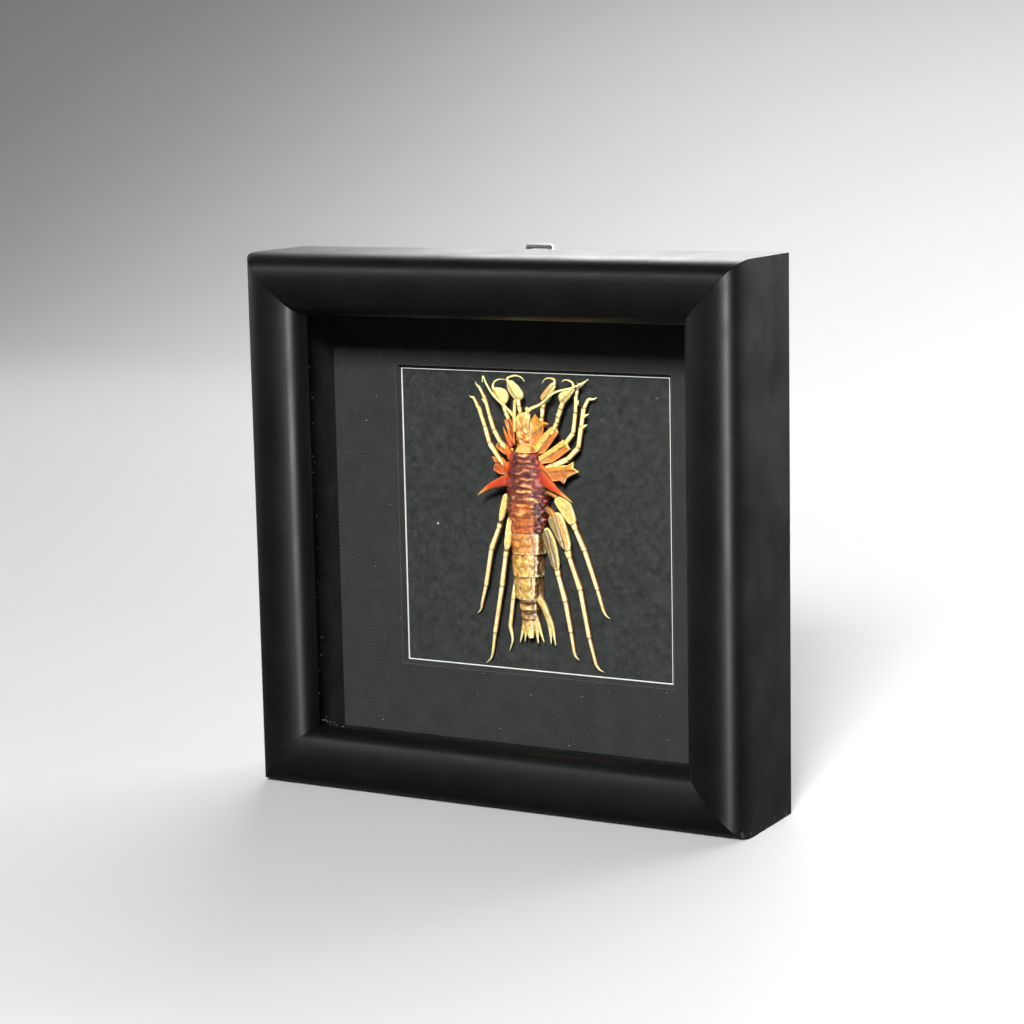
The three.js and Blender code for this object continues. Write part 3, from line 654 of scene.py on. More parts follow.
ring_middles = [-(ring[0] + ring[1]) / 2 for ring in RINGS]
ring_widths, ring_heights = [ring[2] for ring in RINGS], [ring[3] for ring in RINGS]
body_parts = []
for number, (front, back, wide, height, shift, ridge, right_side, left_side, bar) in enumerate(RINGS):
    long = front - back
    fore = 1 <= number <= 6
    stations = []
    for along, girth in RING_LINE:
        y = front - along * long
        girth = 1 - (1 - girth) * (0.5 if fore else 0.8)
        size = (1 - RING_BLEND) * wide + RING_BLEND * np.interp(-y, ring_middles, ring_widths)
        tall = (1 - RING_BLEND) * height + RING_BLEND * np.interp(-y, ring_middles, ring_heights)
        stations.append((shift, y, RING_AXIS * tall, size * girth, (1 - RING_AXIS) * tall * girth))
    points, faces, share, turn = loft(stations, RING_SIDES, 2.15)
    right = -turn
    y = points[:, 1]
    along = (front - y) / long
    out = points - np.stack([np.full(len(y), shift), y, np.full(len(y), RING_AXIS * height)], 1)
    out /= np.maximum(np.linalg.norm(out, axis=1, keepdims=True), 1e-6)
    broad, lumpy = mottled(points, 2.2, number + 1), mottled(points, 1.0, number + 31)
    fine = mottled(points, 0.5, number + 61)
    inside = between(along, 0.0, 0.10) * (1 - between(along, 0.92, 0.985))
    inside = inside * between(np.cos(turn), -0.25, 0.3)
    dark = MAROON if fore else BROWN
    # the right flank's colour is partly the shell's own and partly painted shade
    colour = tinted(ridge, right_side, between(right + 0.4 * (broad - 0.5), 0.46, 0.62))
    colour = tinted(colour, left_side, between(-right + 0.4 * (broad - 0.5), 0.48, 0.68))
    if fore:
        flank = between(np.abs(right - 0.08), 0.42, 0.62)
        furrow = bell(right, 0.54, 0.08) + 0.8 * bell(right, -0.38, 0.07)
        swell = (0.3 + 0.7 * flank) * (1.3 * (lumpy - 0.5) + 0.6 * (broad - 0.5))
        swell = swell + 0.45 * (fine - 0.5) - 0.3 * furrow
        colour = tinted(colour, PLUM, 0.7 * flank * between(broad, 0.45, 0.7) * (number < 4))
        # painted shade in the hollows between the flank's lumps
        colour = tinted(colour, dark, (0.35 + 0.5 * flank) * between(0.5 - lumpy, -0.02, 0.22))
        colour = tinted(colour, dye(214, 92, 52), 0.6 * flank * between(lumpy, 0.58, 0.75))
        # painted shade in the furrows
        colour = tinted(colour, dark, 0.7 * np.clip(furrow, 0, 1) * between(broad, 0.3, 0.6))
    else:
        swell = 0.6 * (broad - 0.5) + 0.55 * (lumpy - 0.5) + 0.4 * (fine - 0.5)
        # painted shade in the dents of the tail rings
        dent_shade = 0.5 * between(0.5 - lumpy, 0.0, 0.22) + 0.35 * between(0.5 - fine, 0.03, 0.22)
        colour = tinted(colour, BROWN, dent_shade)
    if bar is not None:
        streak = mottled(points * (0.42, 1.3, 0.42), 1.0, number + 91)
        phase = along * 2 - 0.5 + 1.1 * (broad - 0.5) + 0.2 * right + 0.14 * np.cos(5 * right)
        wave = 0.6 * np.cos(2 * np.pi * phase) + 2.4 * (streak - 0.5) + 0.6 * (fine - 0.5)
        reach = 0.38 + 0.9 * (lumpy - 0.5)
        zone = 1 - between(np.abs(right - 0.12), reach - 0.08, reach + 0.12)
        swell = swell + 0.34 * np.clip(wave, -1, 1) * zone
        # pale bars on the wrinkle crests, partly the shell's colour and partly painted highlight; a whiter
        # painted highlight on the highest crests and painted shade in the troughs
        colour = tinted(colour, bar, zone * between(wave, 0.2, 0.6))
        colour = tinted(colour, dye(252, 216, 166), 0.6 * zone * between(wave, 0.7, 1.0))
        colour = tinted(colour, dark, 0.6 * zone * between(-wave, 0.3, 0.9))
    if number >= 6:
        lines = CREASES.get(number, [[(-0.9, 0.45), (-0.3, 0.7), (0.3, 0.62), (0.9, 0.5)]])
        scale = 0.85 * wide
        crease = np.max([near(right * scale, along * long, [(u * scale, v * long) for u, v in line], 0.22)
                         for line in lines], axis=0) * between(lumpy, 0.2, 0.5)
        swell = swell - 0.55 * crease
        edge = 0.66 if number == 9 else 0.86
        band = between(right, edge, edge + 0.06) * (1 - between(right, edge + 0.16, edge + 0.22))
        # a pale band down the right flank, then brown beyond it: painted shadow where the flank turns away
        # from the light
        colour = tinted(colour, PALE, 0.7 * band * (number > 6))
        colour = tinted(colour, BROWN, 0.9 * between(right, edge + 0.14, edge + 0.24) * (number > 6))
        # brown along the creases: partly the shell's marks, partly painted shade in the grooves
        colour = tinted(colour, dye(96, 44, 18), 0.8 * crease)
    if number >= 10:
        colour = tinted(colour, dye(70, 36, 14), bell(along + 0.3 * (broad - 0.5), 0.35, 0.2))
    points = points + out * (swell * inside)[:, None]
    # painted shade on the tucked front of each ring, in the gap under the ring before
    colour = tinted(colour, dark, 0.9 * (1 - between(along + 0.1 * (fine - 0.5), 0.0, 0.12)))
    hem = between(along, 0.90, 0.985) * between(fine, 0.35, 0.6)
    colour = tinted(colour, PALE, 0.7 * hem * (number >= 7))
    # painted shade on the underside, towards the board
    colour = tinted(colour, BROWN, 0.8 * between(-np.cos(turn), -0.1, 0.4))
    body_parts.append((points, faces, colour, 1.0 if fore else 0.65))
for front, back, wide, _, shift, *_ in RINGS[7:10]:
    flap = [(shift + 0.92 * wide, front - 0.4, 1.9, 0.2, 0.9),
            (shift + 0.98 * wide, (front + back) / 2, 1.7, 0.3, 1.5),
            (shift + 0.94 * wide, back - 0.2, 1.6, 0.2, 1.0)]
    points, faces, share, _ = loft(eased(flap, 16), 20)
    body_parts.append((points, faces, tinted(dye(130, 92, 48), PALE, between(share, 0.6, 1)), 0.5))
grown_piece("amphipod_body", body_parts, shell)

# Head and side plates: a golden head with antenna stalks above a pale collar, thin spiny plates over the
# roots of the forward legs, and two long red spines on the fourth ring. They grew with the body.
HEAD = [(-0.2, 31.0, 4.6, 0.7, 0.5), (-0.2, 30.0, 4.7, 1.5, 1.0), (-0.4, 28.4, 4.4, 2.0, 1.5),
        (-0.5, 26.2, 4.1, 2.5, 2.0), (-0.3, 24.0, 3.7, 2.8, 2.3), (0.0, 21.8, 3.2, 3.2, 2.5)]
# lines of [x, y, z, radius] and the colours of their two ends
STALKS = [
    ([(-2.9, 25.6, 5.2, 0.7), (-3.0, 30.0, 5.2, 0.55), (-3.2, 34.4, 4.6, 0.42)], dye(226, 174, 76),
     dye(248, 216, 120)),
    ([(-2.0, 26.4, 5.6, 0.6), (-1.7, 28.4, 5.6, 0.5), (-1.5, 30.6, 5.2, 0.45)], dye(206, 128, 48),
     dye(240, 196, 104)),
    ([(-0.3, 26.8, 5.5, 0.55), (0.0, 28.6, 5.6, 0.55), (0.2, 30.4, 5.2, 0.6)], dye(190, 100, 38),
     dye(236, 186, 104)),
    ([(1.2, 26.6, 5.5, 0.6), (1.3, 28.4, 5.5, 0.6), (1.5, 30.6, 5.0, 0.5)], dye(206, 126, 54),
     dye(244, 208, 130)),
    ([(0.3, 26.7, 6.0, 0.45), (0.8, 26.2, 6.1, 0.62), (1.3, 25.6, 5.9, 0.45)], dye(246, 208, 120),
     dye(252, 228, 150)),
    ([(0.7, 32.4, 5.1, 0.45), (1.1, 31.8, 5.2, 0.55), (1.3, 31.1, 5.0, 0.45)], dye(246, 214, 130),
     dye(252, 234, 170)),
    ([(-1.6, 25.4, 5.7, 0.7), (-0.9, 24.7, 6.1, 0.9), (-0.2, 24.0, 5.9, 0.6)], dye(236, 188, 98),
     dye(222, 150, 66)),
]
SPINES = [
    [(-4.0, 12.4, 4.2, 1.7, 1.0), (-6.2, 12.0, 5.0, 1.6, 0.9), (-8.2, 11.3, 5.5, 1.25, 0.75),
     (-11.0, 10.2, 5.7, 0.8, 0.55), (-13.3, 8.7, 5.6, 0.4, 0.32), (-15.0, 7.5, 5.4, 0.05, 0.05)],
    [(4.0, 14.0, 4.4, 1.8, 1.0), (6.1, 12.6, 5.1, 1.65, 0.9), (8.5, 11.0, 5.5, 1.15, 0.75),
     (11.0, 9.4, 5.6, 0.6, 0.48), (12.6, 8.3, 5.3, 0.36, 0.3), (14.3, 7.0, 5.0, 0.05, 0.05)],
]
SPIKES = [
    [(-4.4, 21.4, 4.8, 0.8, 0.6), (-5.6, 24.0, 5.0, 0.5, 0.4), (-6.9, 26.9, 4.8, 0.05, 0.05)],
    [(-3.6, 22.4, 5.0, 0.75, 0.6), (-4.5, 24.4, 5.3, 0.45, 0.4), (-5.4, 26.8, 5.2, 0.05, 0.05)],
    [(-4.2, 18.2, 4.9, 1.3, 0.7), (-5.5, 20.4, 5.1, 0.65, 0.45), (-6.4, 22.6, 4.9, 0.05, 0.05)],
    [(-4.8, 15.2, 5.1, 1.5, 0.8), (-6.1, 16.6, 5.3, 0.8, 0.5), (-7.2, 18.4, 5.0, 0.05, 0.05)],
    [(4.4, 16.6, 5.0, 1.0, 0.6), (5.8, 15.8, 5.2, 0.6, 0.4), (7.0, 14.7, 5.2, 0.05, 0.05)],
]
# outline, height at the root and at the outer end, colour of the field, of the rim and beyond the fold, two
# points of the fold, times the corners are cut
PLATES = [
    ([(5.6, 20.0), (7.8, 23.0), (9.7, 25.7), (9.3, 26.9), (7.6, 27.3), (5.2, 25.0), (2.2, 21.6), (2.6, 19.6)],
     5.0, 3.7, dye(238, 186, 88), dye(236, 170, 74), dye(206, 112, 30), ((3.8, 20.2), (8.6, 26.6)), 0),
    ([(8.0, 17.6), (10.8, 19.5), (13.2, 21.4), (12.6, 22.4), (11.2, 23.9), (7.6, 21.3), (4.2, 19.0),
      (4.4, 17.0)], 5.0, 3.6, dye(242, 196, 98), dye(244, 192, 96), dye(206, 116, 32),
     ((5.2, 18.0), (12.3, 22.6)), 0),
    ([(4.4, 13.2), (8.3, 12.4), (10.3, 12.7), (11.2, 11.7), (12.0, 13.3), (13.2, 14.1), (15.5, 15.2),
      (14.0, 16.2), (14.1, 18.0), (12.2, 16.9), (8.8, 16.7), (4.4, 16.0)], 4.9, 3.2, dye(222, 148, 50),
     dye(250, 212, 124), dye(186, 108, 34), ((4.6, 14.4), (13.4, 15.4)), 0),
    ([(1.6, 21.0), (3.9, 22.8), (5.3, 25.2), (5.6, 27.2), (7.1, 28.1), (5.5, 28.7), (4.2, 29.3), (3.2, 30.8),
      (1.7, 28.8), (1.3, 25.0)], 5.2, 4.1, dye(206, 144, 34), dye(206, 132, 44), dye(206, 118, 30),
     ((1.4, 24.2), (5.7, 27.6)), 0),
    ([(-10.1, 21.0), (-7.2, 19.3), (-4.0, 18.4), (-3.8, 21.0), (-6.7, 21.4), (-8.7, 23.1)],
     5.0, 3.5, dye(220, 138, 42), dye(246, 192, 92), dye(200, 108, 34), ((-9.4, 21.8), (-4.0, 20.0)), 0),
    ([(-11.3, 18.2), (-10.1, 16.5), (-10.9, 14.5), (-8.6, 13.5), (-4.6, 13.6), (-4.6, 17.2), (-7.6, 16.9),
      (-9.2, 17.9)], 5.0, 3.4, dye(214, 112, 32), dye(244, 176, 78), dye(196, 84, 28),
     ((-10.2, 16.4), (-4.6, 15.4)), 0),
    ([(-3.0, 22.0), (-3.2, 26.0), (-4.0, 28.2), (-4.8, 29.3), (-6.4, 28.7), (-5.3, 26.0), (-4.7, 22.6)],
     5.2, 4.9, dye(200, 112, 32), dye(222, 140, 54), dye(172, 80, 22), ((-4.2, 22.0), (-5.2, 29.0)), 0),
    ([(-2.5, 19.9), (4.6, 20.2), (4.4, 21.4), (2.8, 22.4), (0.9, 22.8), (-0.7, 22.3), (-2.1, 21.2)],
     6.2, 6.2, dye(238, 184, 104), dye(250, 210, 118), dye(196, 112, 44), ((2.0, 19.0), (2.8, 23.4)), 2),
]
# share of the outline's size, share of the thickness: from the underside over the rim to the top
PLATE_LOOPS = [(1.0, -0.5), (1.0, 0.0), (0.975, 0.42), (0.92, 0.52), (0.85, 0.42), (0.75, 0.28), (0.6, 0.20),
               (0.45, 0.14), (0.3, 0.10), (0.15, 0.16)]
PILLOW_LOOPS = [(0.3, -0.95), (0.6, -0.85), (0.85, -0.55), (0.97, -0.2), (1.0, 0.05), (0.97, 0.35),
                (0.9, 0.58), (0.78, 0.78), (0.6, 0.92), (0.4, 0.98), (0.2, 1.0)]


def leaf(outline, root_height, end_height, field, rim, beyond, fold, cuts, loops, thick, freckle):
    """A thin closed form inside an outline, built of loops; it is creased and changes colour at a fold, with
    painted shade along the crease and on its underside.
    """
    corners = np.array(outline, float)
    for _ in range(cuts):
        after = np.roll(corners, -1, 0)
        corners = np.stack([0.75 * corners + 0.25 * after, 0.25 * corners + 0.75 * after], 1).reshape(-1, 2)
    after = np.roll(corners, -1, 0)
    steps = max(3, 64 // len(corners))
    shares = np.linspace(0, 1, steps + 1)[:-1, None]
    edge = (corners[:, None] + (after - corners)[:, None] * shares).reshape(-1, 2)
    if np.sum(edge[:, 0] * np.roll(edge[:, 1], -1) - edge[:, 1] * np.roll(edge[:, 0], -1)) < 0:
        edge = edge[::-1]
    middle = edge.mean(0)
    reach = np.abs(edge[:, 0])
    slope = (end_height - root_height) / (reach.max() - reach.min())
    (x0, y0), (x1, y1) = fold
    fold_long = math.hypot(x1 - x0, y1 - y0)
    rows, colours = [], []
    for size, rise in [(0.0, loops[0][1])] + loops + [(0.0, loops[-1][1])]:
        flat = middle + ((edge if size else edge[:1]) - middle) * size
        level = root_height + slope * (np.abs(flat[:, 0]) - reach.min()) + rise * thick
        loop = np.column_stack([flat, level])
        patch, spot = mottled(loop, 0.9, 40), mottled(loop, 0.4, 44)
        past = ((flat[:, 0] - x0) * (y1 - y0) - (flat[:, 1] - y0) * (x1 - x0)) / fold_long
        valley = bell(past, 0.0, 0.28)
        loop[:, 2] += (0.3 * (patch - 0.5) - 0.3 * valley) * (rise > 0)
        colour = tinted(field, beyond, between(past + 0.8 * (patch - 0.5), -0.1, 0.25))
        colour = tinted(colour, rim, between(size + 0.24 * (spot - 0.5), 0.84, 0.97))
        # painted shade along the crease, with freckles
        dark = np.clip(0.7 * valley + freckle * between(spot, 0.55, 0.75), 0, 1)
        colour = tinted(colour, BROWN, dark * (size < 0.9))
        rows.append(loop)
        # painted shade on the underside
        colours.append(tinted(colour, BROWN, 0.6 if rise < -0.1 else 0.0))
    count = len(edge)
    starts = 1 + count * np.arange(len(loops))
    faces = [(starts[k] + j, starts[k] + (j + 1) % count, starts[k + 1] + (j + 1) % count, starts[k + 1] + j)
             for k in range(len(loops) - 1) for j in range(count)]
    faces += [(0, 1 + (j + 1) % count, 1 + j) for j in range(count)]
    faces += [(starts[-1] + j, starts[-1] + (j + 1) % count, starts[-1] + count) for j in range(count)]
    return np.vstack(rows), faces, np.vstack(colours), 0.5


def side_shaded(colour, turn, up):
    """A tube's colour with painted shade down its sides in a horn colour, and how dark its outermost edges
    are with painted shade.

    The shade is deeper on the right side; up is 1 where the tube runs toward the head, else -1."""
    lean = np.sin(turn) * up
    sides = np.clip(between(lean, 0.55, 0.9) + between(-lean, 0.5, 0.8), 0, 1)
    return tinted(colour, HORN, sides), 0.75 * between(lean, 0.84, 1.0) + 0.5 * between(-lean, 0.74, 0.9)


def tube(stations, count, sides, ends, shine=0.5, mottle=0.25, square=2.0):
    """A loft on a smooth line, coloured from its first end to its last with darker mottling and painted shade
    down its sides.
    """
    points, faces, share, turn = loft(eased(stations, count), sides, square)
    patch = mottled(points, 0.7, 50)
    colour = tinted(ends[0], ends[1], share)
    if len(ends) > 2:
        colour = tinted(colour, ends[2], between(share, 0.55, 1.0))
    up = 1 if stations[-1][1] > stations[0][1] else -1
    # painted shade down the sides, deeper on the right
    side_shaded_colour, dark = side_shaded(colour, turn, up)
    colour = tinted(tinted(colour, side_shaded_colour, 0.4), BROWN, 0.7 * dark)
    return points, faces, tinted(colour, BROWN, mottle * between(patch, 0.5, 0.8)), shine


points, faces, colour, shine = tube(HEAD, 44, 64, (dye(230, 166, 70), dye(212, 124, 42)), 0.6, 0.6, 2.3)
lump, grit = mottled(points, 1.3, 81), mottled(points, 0.5, 82)
points[:, 2] += (1.2 * (lump - 0.5) + 0.5 * (grit - 0.5)) * between(points[:, 2], 3.6, 5.0)
# paler where the head's lumps rise, and painted shade in the hollows between them
colour = tinted(colour, dye(248, 208, 122), 0.8 * between(lump + 0.4 * (grit - 0.5), 0.55, 0.7))
colour = tinted(colour, dye(150, 74, 24), 0.8 * between(0.5 - lump, 0.08, 0.22))
crown_parts = [(points, faces, colour, shine)]
for line, colour, tip in STALKS:
    crown_parts.append(tube([(x, y, z, r, r) for x, y, z, r in line], 18, 16, (colour, tip), 0.5, 0.45))
for line in SPINES:
    ends = (dye(150, 30, 12), dye(226, 76, 6), dye(246, 186, 100))
    crown_parts.append(tube(line, 40, 28, ends, 0.25, 0.3))
for line in SPIKES:
    crown_parts.append(tube(line, 20, 16, (dye(186, 54, 10), dye(238, 136, 34)), 0.25, 0.3))
for plate in PLATES:
    crown_parts.append(leaf(*plate, PLATE_LOOPS, 0.6, 0.5))
grown_piece("amphipod_head_and_plates", crown_parts, shell)

# Limbs: ten long legs, four claws, two feelers and the tail fan. Each article is a pale tube with painted
# shade down its sides in a horn colour, flared at its far end and darker at the joint, and the legs end in
# fine curved toes.
FORE, REAR = (dye(250, 232, 156), dye(255, 244, 182)), (dye(255, 240, 190), dye(252, 226, 164))
# colours, how many spans of the line are the broad root article, joints of [x, y, z, half width, half height]
LEGS = [
    (FORE, 1, [(-3.6, 18.4, 3.4, .8, .7), (-8, 22.1, 4, .75, .65), (-10.1, 25.6, 4, .75, .65),
               (-12, 29.4, 3, .6, .55), (-13.6, 33.9, 2.5, .6, .5), (-15.7, 37.1, 2, .4, .35),
               (-17.2, 38.6, 1.5, .12, .12)]),
    (FORE, 1, [(-4, 14.4, 3.4, .9, .8), (-7.9, 16.8, 4, .8, .7), (-11.6, 21.9, 4, .8, .7),
               (-13.2, 26.2, 3.5, .7, .6), (-15.5, 31.1, 2.5, .65, .55), (-17.6, 34.2, 2, .4, .35),
               (-19.2, 34.6, 1.5, .12, .12)]),
    (FORE, 1, [(5, 17.6, 3.4, .9, .8), (11.1, 22.3, 3, .8, .7), (13.9, 25.7, 3, .75, .65),
               (14.7, 31.2, 3, .6, .55), (14.7, 35.8, 2.5, .6, .5), (15.3, 38.9, 2, .4, .35),
               (17.8, 40.5, 1.5, .12, .12)]),
    (FORE, 1, [(4, 15, 3.4, .9, .8), (8, 16.6, 3.8, .9, .8), (12.1, 18.5, 3, .85, .7),
               (15.4, 21.7, 3, .8, .7), (16.4, 27.5, 3, .75, .65), (17, 32.5, 2.5, .7, .6),
               (18.2, 35.1, 2, .45, .4), (20.6, 35.6, 1.5, .12, .12)]),
    (REAR, 2, [(-4, 8.6, 3.4, 1.1, .9), (-6.8, 6.4, 4.4, 1.0, .8), (-8.4, .2, 4.8, .9, .8),
               (-8.7, -1.2, 4.8, .75, .65), (-11.7, -7.5, 4, .8, .7), (-14.3, -18.3, 3, .65, .6),
               (-16.3, -23.7, 2, .45, .4), (-18.5, -26.9, 1, .12, .12)]),
    (REAR, 2, [(-3, 4.6, 3.4, 1.1, .9), (-5.2, 1.4, 4.4, 1.0, .8), (-6.5, -7.5, 4.8, .9, .8),
               (-6.9, -9.2, 4.8, .75, .65), (-8.6, -17.7, 4, .8, .7), (-12, -31.6, 2.5, .65, .6),
               (-13.3, -36.7, 1.5, .45, .4), (-16.2, -41.1, .8, .12, .12)]),
    (REAR, 1, [(-2.5, -8, 2.6, .9, .8), (-4.6, -15.8, 3, .8, .7), (-5.7, -21.3, 3, .7, .65),
               (-7.4, -29.6, 2, .6, .5), (-8.5, -37.1, 1, .12, .12)]),
    (REAR, 3, [(4, 9.4, 3.2, 1.1, .9), (8.4, 8.4, 3.8, 1.3, .8), (11.6, 4.4, 4, 1.4, .8),
               (14, 1.1, 4, 1.2, .8), (14.6, -.5, 4, .8, .7), (17.1, -6.3, 3.5, .85, .75),
               (20.3, -17.1, 2.5, .65, .6), (21.5, -22.9, 1.5, .45, .45), (23.3, -25.3, 1, .12, .12)]),
    (REAR, 3, [(3.6, 5.4, 3.2, 1.2, .9), (7.2, 3.6, 3.8, 1.6, .8), (9.6, -1, 4, 1.9, .8),
               (12, -6.5, 4, 1.4, .8), (12.6, -8.4, 4, .8, .7), (15.3, -17.4, 3, .85, .75),
               (17.3, -30.9, 2, .65, .6), (18.9, -38.5, 1.2, .45, .45), (21.1, -40.4, .8, .12, .12)]),
    (REAR, 3, [(2, .4, 2.8, 1.2, .9), (4.6, -2.4, 3, 1.5, .8), (6.4, -6.8, 3.4, 1.75, .8),
               (8.5, -12.1, 3.5, 1.1, .8), (8.8, -13.7, 3.5, .8, .7), (10.6, -20.9, 3, .85, .75),
               (11.7, -29.7, 2, .65, .6), (12.2, -35.7, 1.2, .45, .45), (13.5, -37.7, .8, .12, .12)]),
]
ARTICLE_LINE = [(-0.02, 0.55), (0.0, 0.74), (0.02, 0.86), (0.05, 0.91), (0.1, 0.92), (0.25, 0.92),
                (0.4, 0.93), (0.55, 0.95), (0.7, 0.97), (0.82, 0.99), (0.9, 1.02), (0.95, 1.07),
                (0.975, 1.08), (0.99, 1.0), (1.0, 0.7)]
ARTICLE_SIDES = 16


def article(start, end, ends, joint, rough=0.02):
    """One article of a limb between two joints, narrow where it enters the last one and flared at its end."""
    start, end = np.array(start, float), np.array(end, float)
    rows = []
    for along, girth in ARTICLE_LINE:
        girth += rough * math.sin(23 * along + 5 * start[1]) * (0 < along < 0.95)
        row = start + (end - start) * along
        row[3:] = (start[3:] + (end[3:] - start[3:]) * min(max(along, 0), 1)) * girth
        rows.append(row)
    points, faces, _, turn = loft(rows, ARTICLE_SIDES)
    along = np.concatenate([np.repeat([along for along, _ in ARTICLE_LINE], ARTICLE_SIDES), [0, 1]])
    patch = mottled(points, 0.8, 60)
    dark_end = 0.35 / np.linalg.norm(end[:3] - start[:3])
    colour = tinted(ends[0], ends[1], np.clip(along, 0, 1))
    colour = tinted(colour, dye(206, 146, 66), 0.45 * between(patch, 0.56, 0.8))
    # painted shade down the sides, darkest at the edges and deeper on the right
    colour, dark = side_shaded(colour, turn, 1 if end[1] > start[1] else -1)
    colour = tinted(colour, BROWN, dark)
    near_joint = 1 - between(along, 0.5 * dark_end, 1.6 * dark_end) + between(along, 0.97, 0.995)
    colour = tinted(colour, BROWN, joint * np.clip(near_joint, 0, 1))
    return points, faces, colour, 0.45


def toe(start, end, bend, ends):
    """A fine curved last article."""
    start, end = np.array(start, float), np.array(end, float)
    middle = (start + end) / 2
    middle[:2] += bend * np.array([end[1] - start[1], start[0] - end[0]])
    middle[3:] = 0.62 * start[3:]
    tip = end.copy()
    tip[3:] = 0.05
    return tube([start, middle, tip], 16, 12, ends, 0.55, 0.1)


# broad root articles behind: outline, height, colours of the field, of the rim and beyond the fold, two
# points of the fold, freckles
ROOTS = [
    ([(8.1, 6.8), (8.7, 7.9), (10.8, 8.7), (12.9, 7.2), (14.3, 4.1), (15.1, 1.1), (13.2, 0.2), (11.3, 2.6)],
     4.0, dye(246, 214, 142), dye(252, 232, 164), dye(240, 204, 126), ((30, 8), (31, 0)), 0.5),
    ([(6.1, 1.6), (6.9, 2.9), (8.8, 4.0), (10.5, 3.4), (12.0, -0.4), (13.5, -6.4), (11.1, -7.1), (8.1, -2.0)],
     4.0, dye(150, 126, 74), dye(252, 232, 164), dye(236, 188, 116), ((11.6, -6.8), (8.3, 3.6)), 0.6),
    ([(4.1, -2.9), (4.4, -1.5), (5.4, -0.6), (6.4, -1.1), (8.4, -4.7), (9.6, -12.0), (7.5, -12.7),
      (5.5, -7.0)], 3.5, dye(126, 106, 60), dye(250, 230, 156), dye(186, 160, 104),
     ((8.7, -12.4), (5.6, -1.0)), 0.7),
    ([(-7.5, 6.7), (-6.8, 8.4), (-5.8, 7.9), (-6.3, 4.0), (-7.5, 0.4), (-8.9, 0.3)],
     4.8, dye(236, 200, 124), dye(252, 234, 160), dye(214, 160, 84), ((-30, 8), (-30, 0)), 0.3),
    ([(-6.1, 0.5), (-5.5, 2.4), (-4.4, 2.4), (-4.8, -2.6), (-5.5, -7.5), (-7.4, -7.5)],
     4.8, dye(244, 214, 138), dye(252, 236, 164), dye(226, 178, 100), ((-30, 8), (-30, 0)), 0.3),
]
ROOT_LOOPS = [(0.3, -0.8), (0.7, -0.75), (0.93, -0.5), (1.0, -0.05), (0.98, 0.3), (0.94, 0.52), (0.88, 0.62),
              (0.8, 0.62), (0.7, 0.58), (0.58, 0.55), (0.45, 0.54), (0.32, 0.55), (0.16, 0.56)]
limb_parts = []
for outline, level, field, rim, beyond, fold, freckle in ROOTS:
    limb_parts.append(leaf(outline, level, level, field, rim, beyond, fold, 1, ROOT_LOOPS, 1.1, freckle))
for (first, second), root, joints in LEGS:
    if root > 1:
        rootline = eased(joints[:root + 1], 24)
        rootline[:, 3] *= 0.6
        limb_parts.append(tube(rootline[:10], 16, 20, (BROWN, HORN), 0.45, 0.6))
    for k in range(root if root > 1 else 0, len(joints) - 2):
        short = np.linalg.norm(np.subtract(joints[k + 1][:2], joints[k][:2])) < 2.4
        limb_parts.append(article(joints[k], joints[k + 1], (PALE, CREAM) if short else (first, second),
                                  joint=0.9 if short else 0.55))
    limb_parts.append(toe(joints[-2], joints[-1], 0.12 if joints[-1][0] > 0 else -0.12, (second, PALE)))

# arm joints of [x, y, z, radius], outline of the hand, line of the finger, colour of the hand
CLAWS = [
    ([(-3.6, 24.6, 3.8, .7), (-5.4, 28.7, 3.8, .7), (-6.4, 30.6, 3.8, .7), (-7.2, 33.2, 3.8, .75)],
     [(-10.3, 37.3), (-9.4, 37.6), (-6.8, 37.3), (-5.6, 35.9), (-5.5, 34.2), (-6.4, 32.9), (-7.9, 32.7),
      (-9.3, 34.3), (-10.2, 35.7)], [(-10.0, 36.9), (-10.2, 37.9), (-9.6, 39.1), (-8.0, 39.8), (-6.1, 39.7)],
     dye(240, 212, 130)),
    ([(-1.4, 27.6, 4.2, .65), (-1.7, 30.6, 4.0, .65), (-2.2, 32.3, 3.8, .7), (-2.5, 34.6, 3.8, .7)],
     [(-5.9, 39.2), (-4.7, 39.8), (-3.1, 38.7), (-2.0, 37.7), (-0.8, 36.1), (-0.8, 34.9), (-1.9, 34.1),
      (-3.3, 34.1), (-4.9, 35.9), (-5.8, 37.6)],
     [(-5.3, 38.8), (-5.6, 40.1), (-4.4, 40.7), (-2.5, 40.9), (-1.0, 40.3), (-0.3, 39.4)],
     dye(242, 216, 136)),
    ([(4.0, 26.6, 4.0, .65), (4.8, 29.6, 3.8, .65), (5.1, 32.3, 3.8, .75), (5.6, 34.2, 3.8, .7)],
     [(9.3, 39.3), (9.1, 37.9), (8.1, 36.2), (7.3, 34.5), (6.2, 33.6), (4.8, 34.5), (4.4, 35.3), (5.2, 36.4),
      (6.8, 38.3), (8.2, 39.6)], [(8.9, 38.8), (9.0, 40.1), (7.7, 40.6), (6.1, 40.3), (5.1, 39.1)],
     dye(238, 186, 118)),
    ([(7.4, 25.0, 3.6, .6), (8.1, 26.4, 3.6, .65), (9.2, 28.3, 3.6, .7), (9.7, 29.8, 3.6, .7),
      (10.5, 32.2, 3.6, .8), (11.3, 34.2, 3.6, .8)],
     [(15.6, 38.4), (14.1, 36.2), (12.6, 34.4), (11.5, 33.6), (10.2, 34.5), (10.0, 36.0), (11.1, 37.1),
      (12.9, 38.0)], [(14.8, 38.2), (14.5, 39.5), (13.2, 40.2), (11.9, 40.2), (11.1, 39.6)],
     dye(244, 218, 140)),
]
CLAW_HEIGHT = 3.8
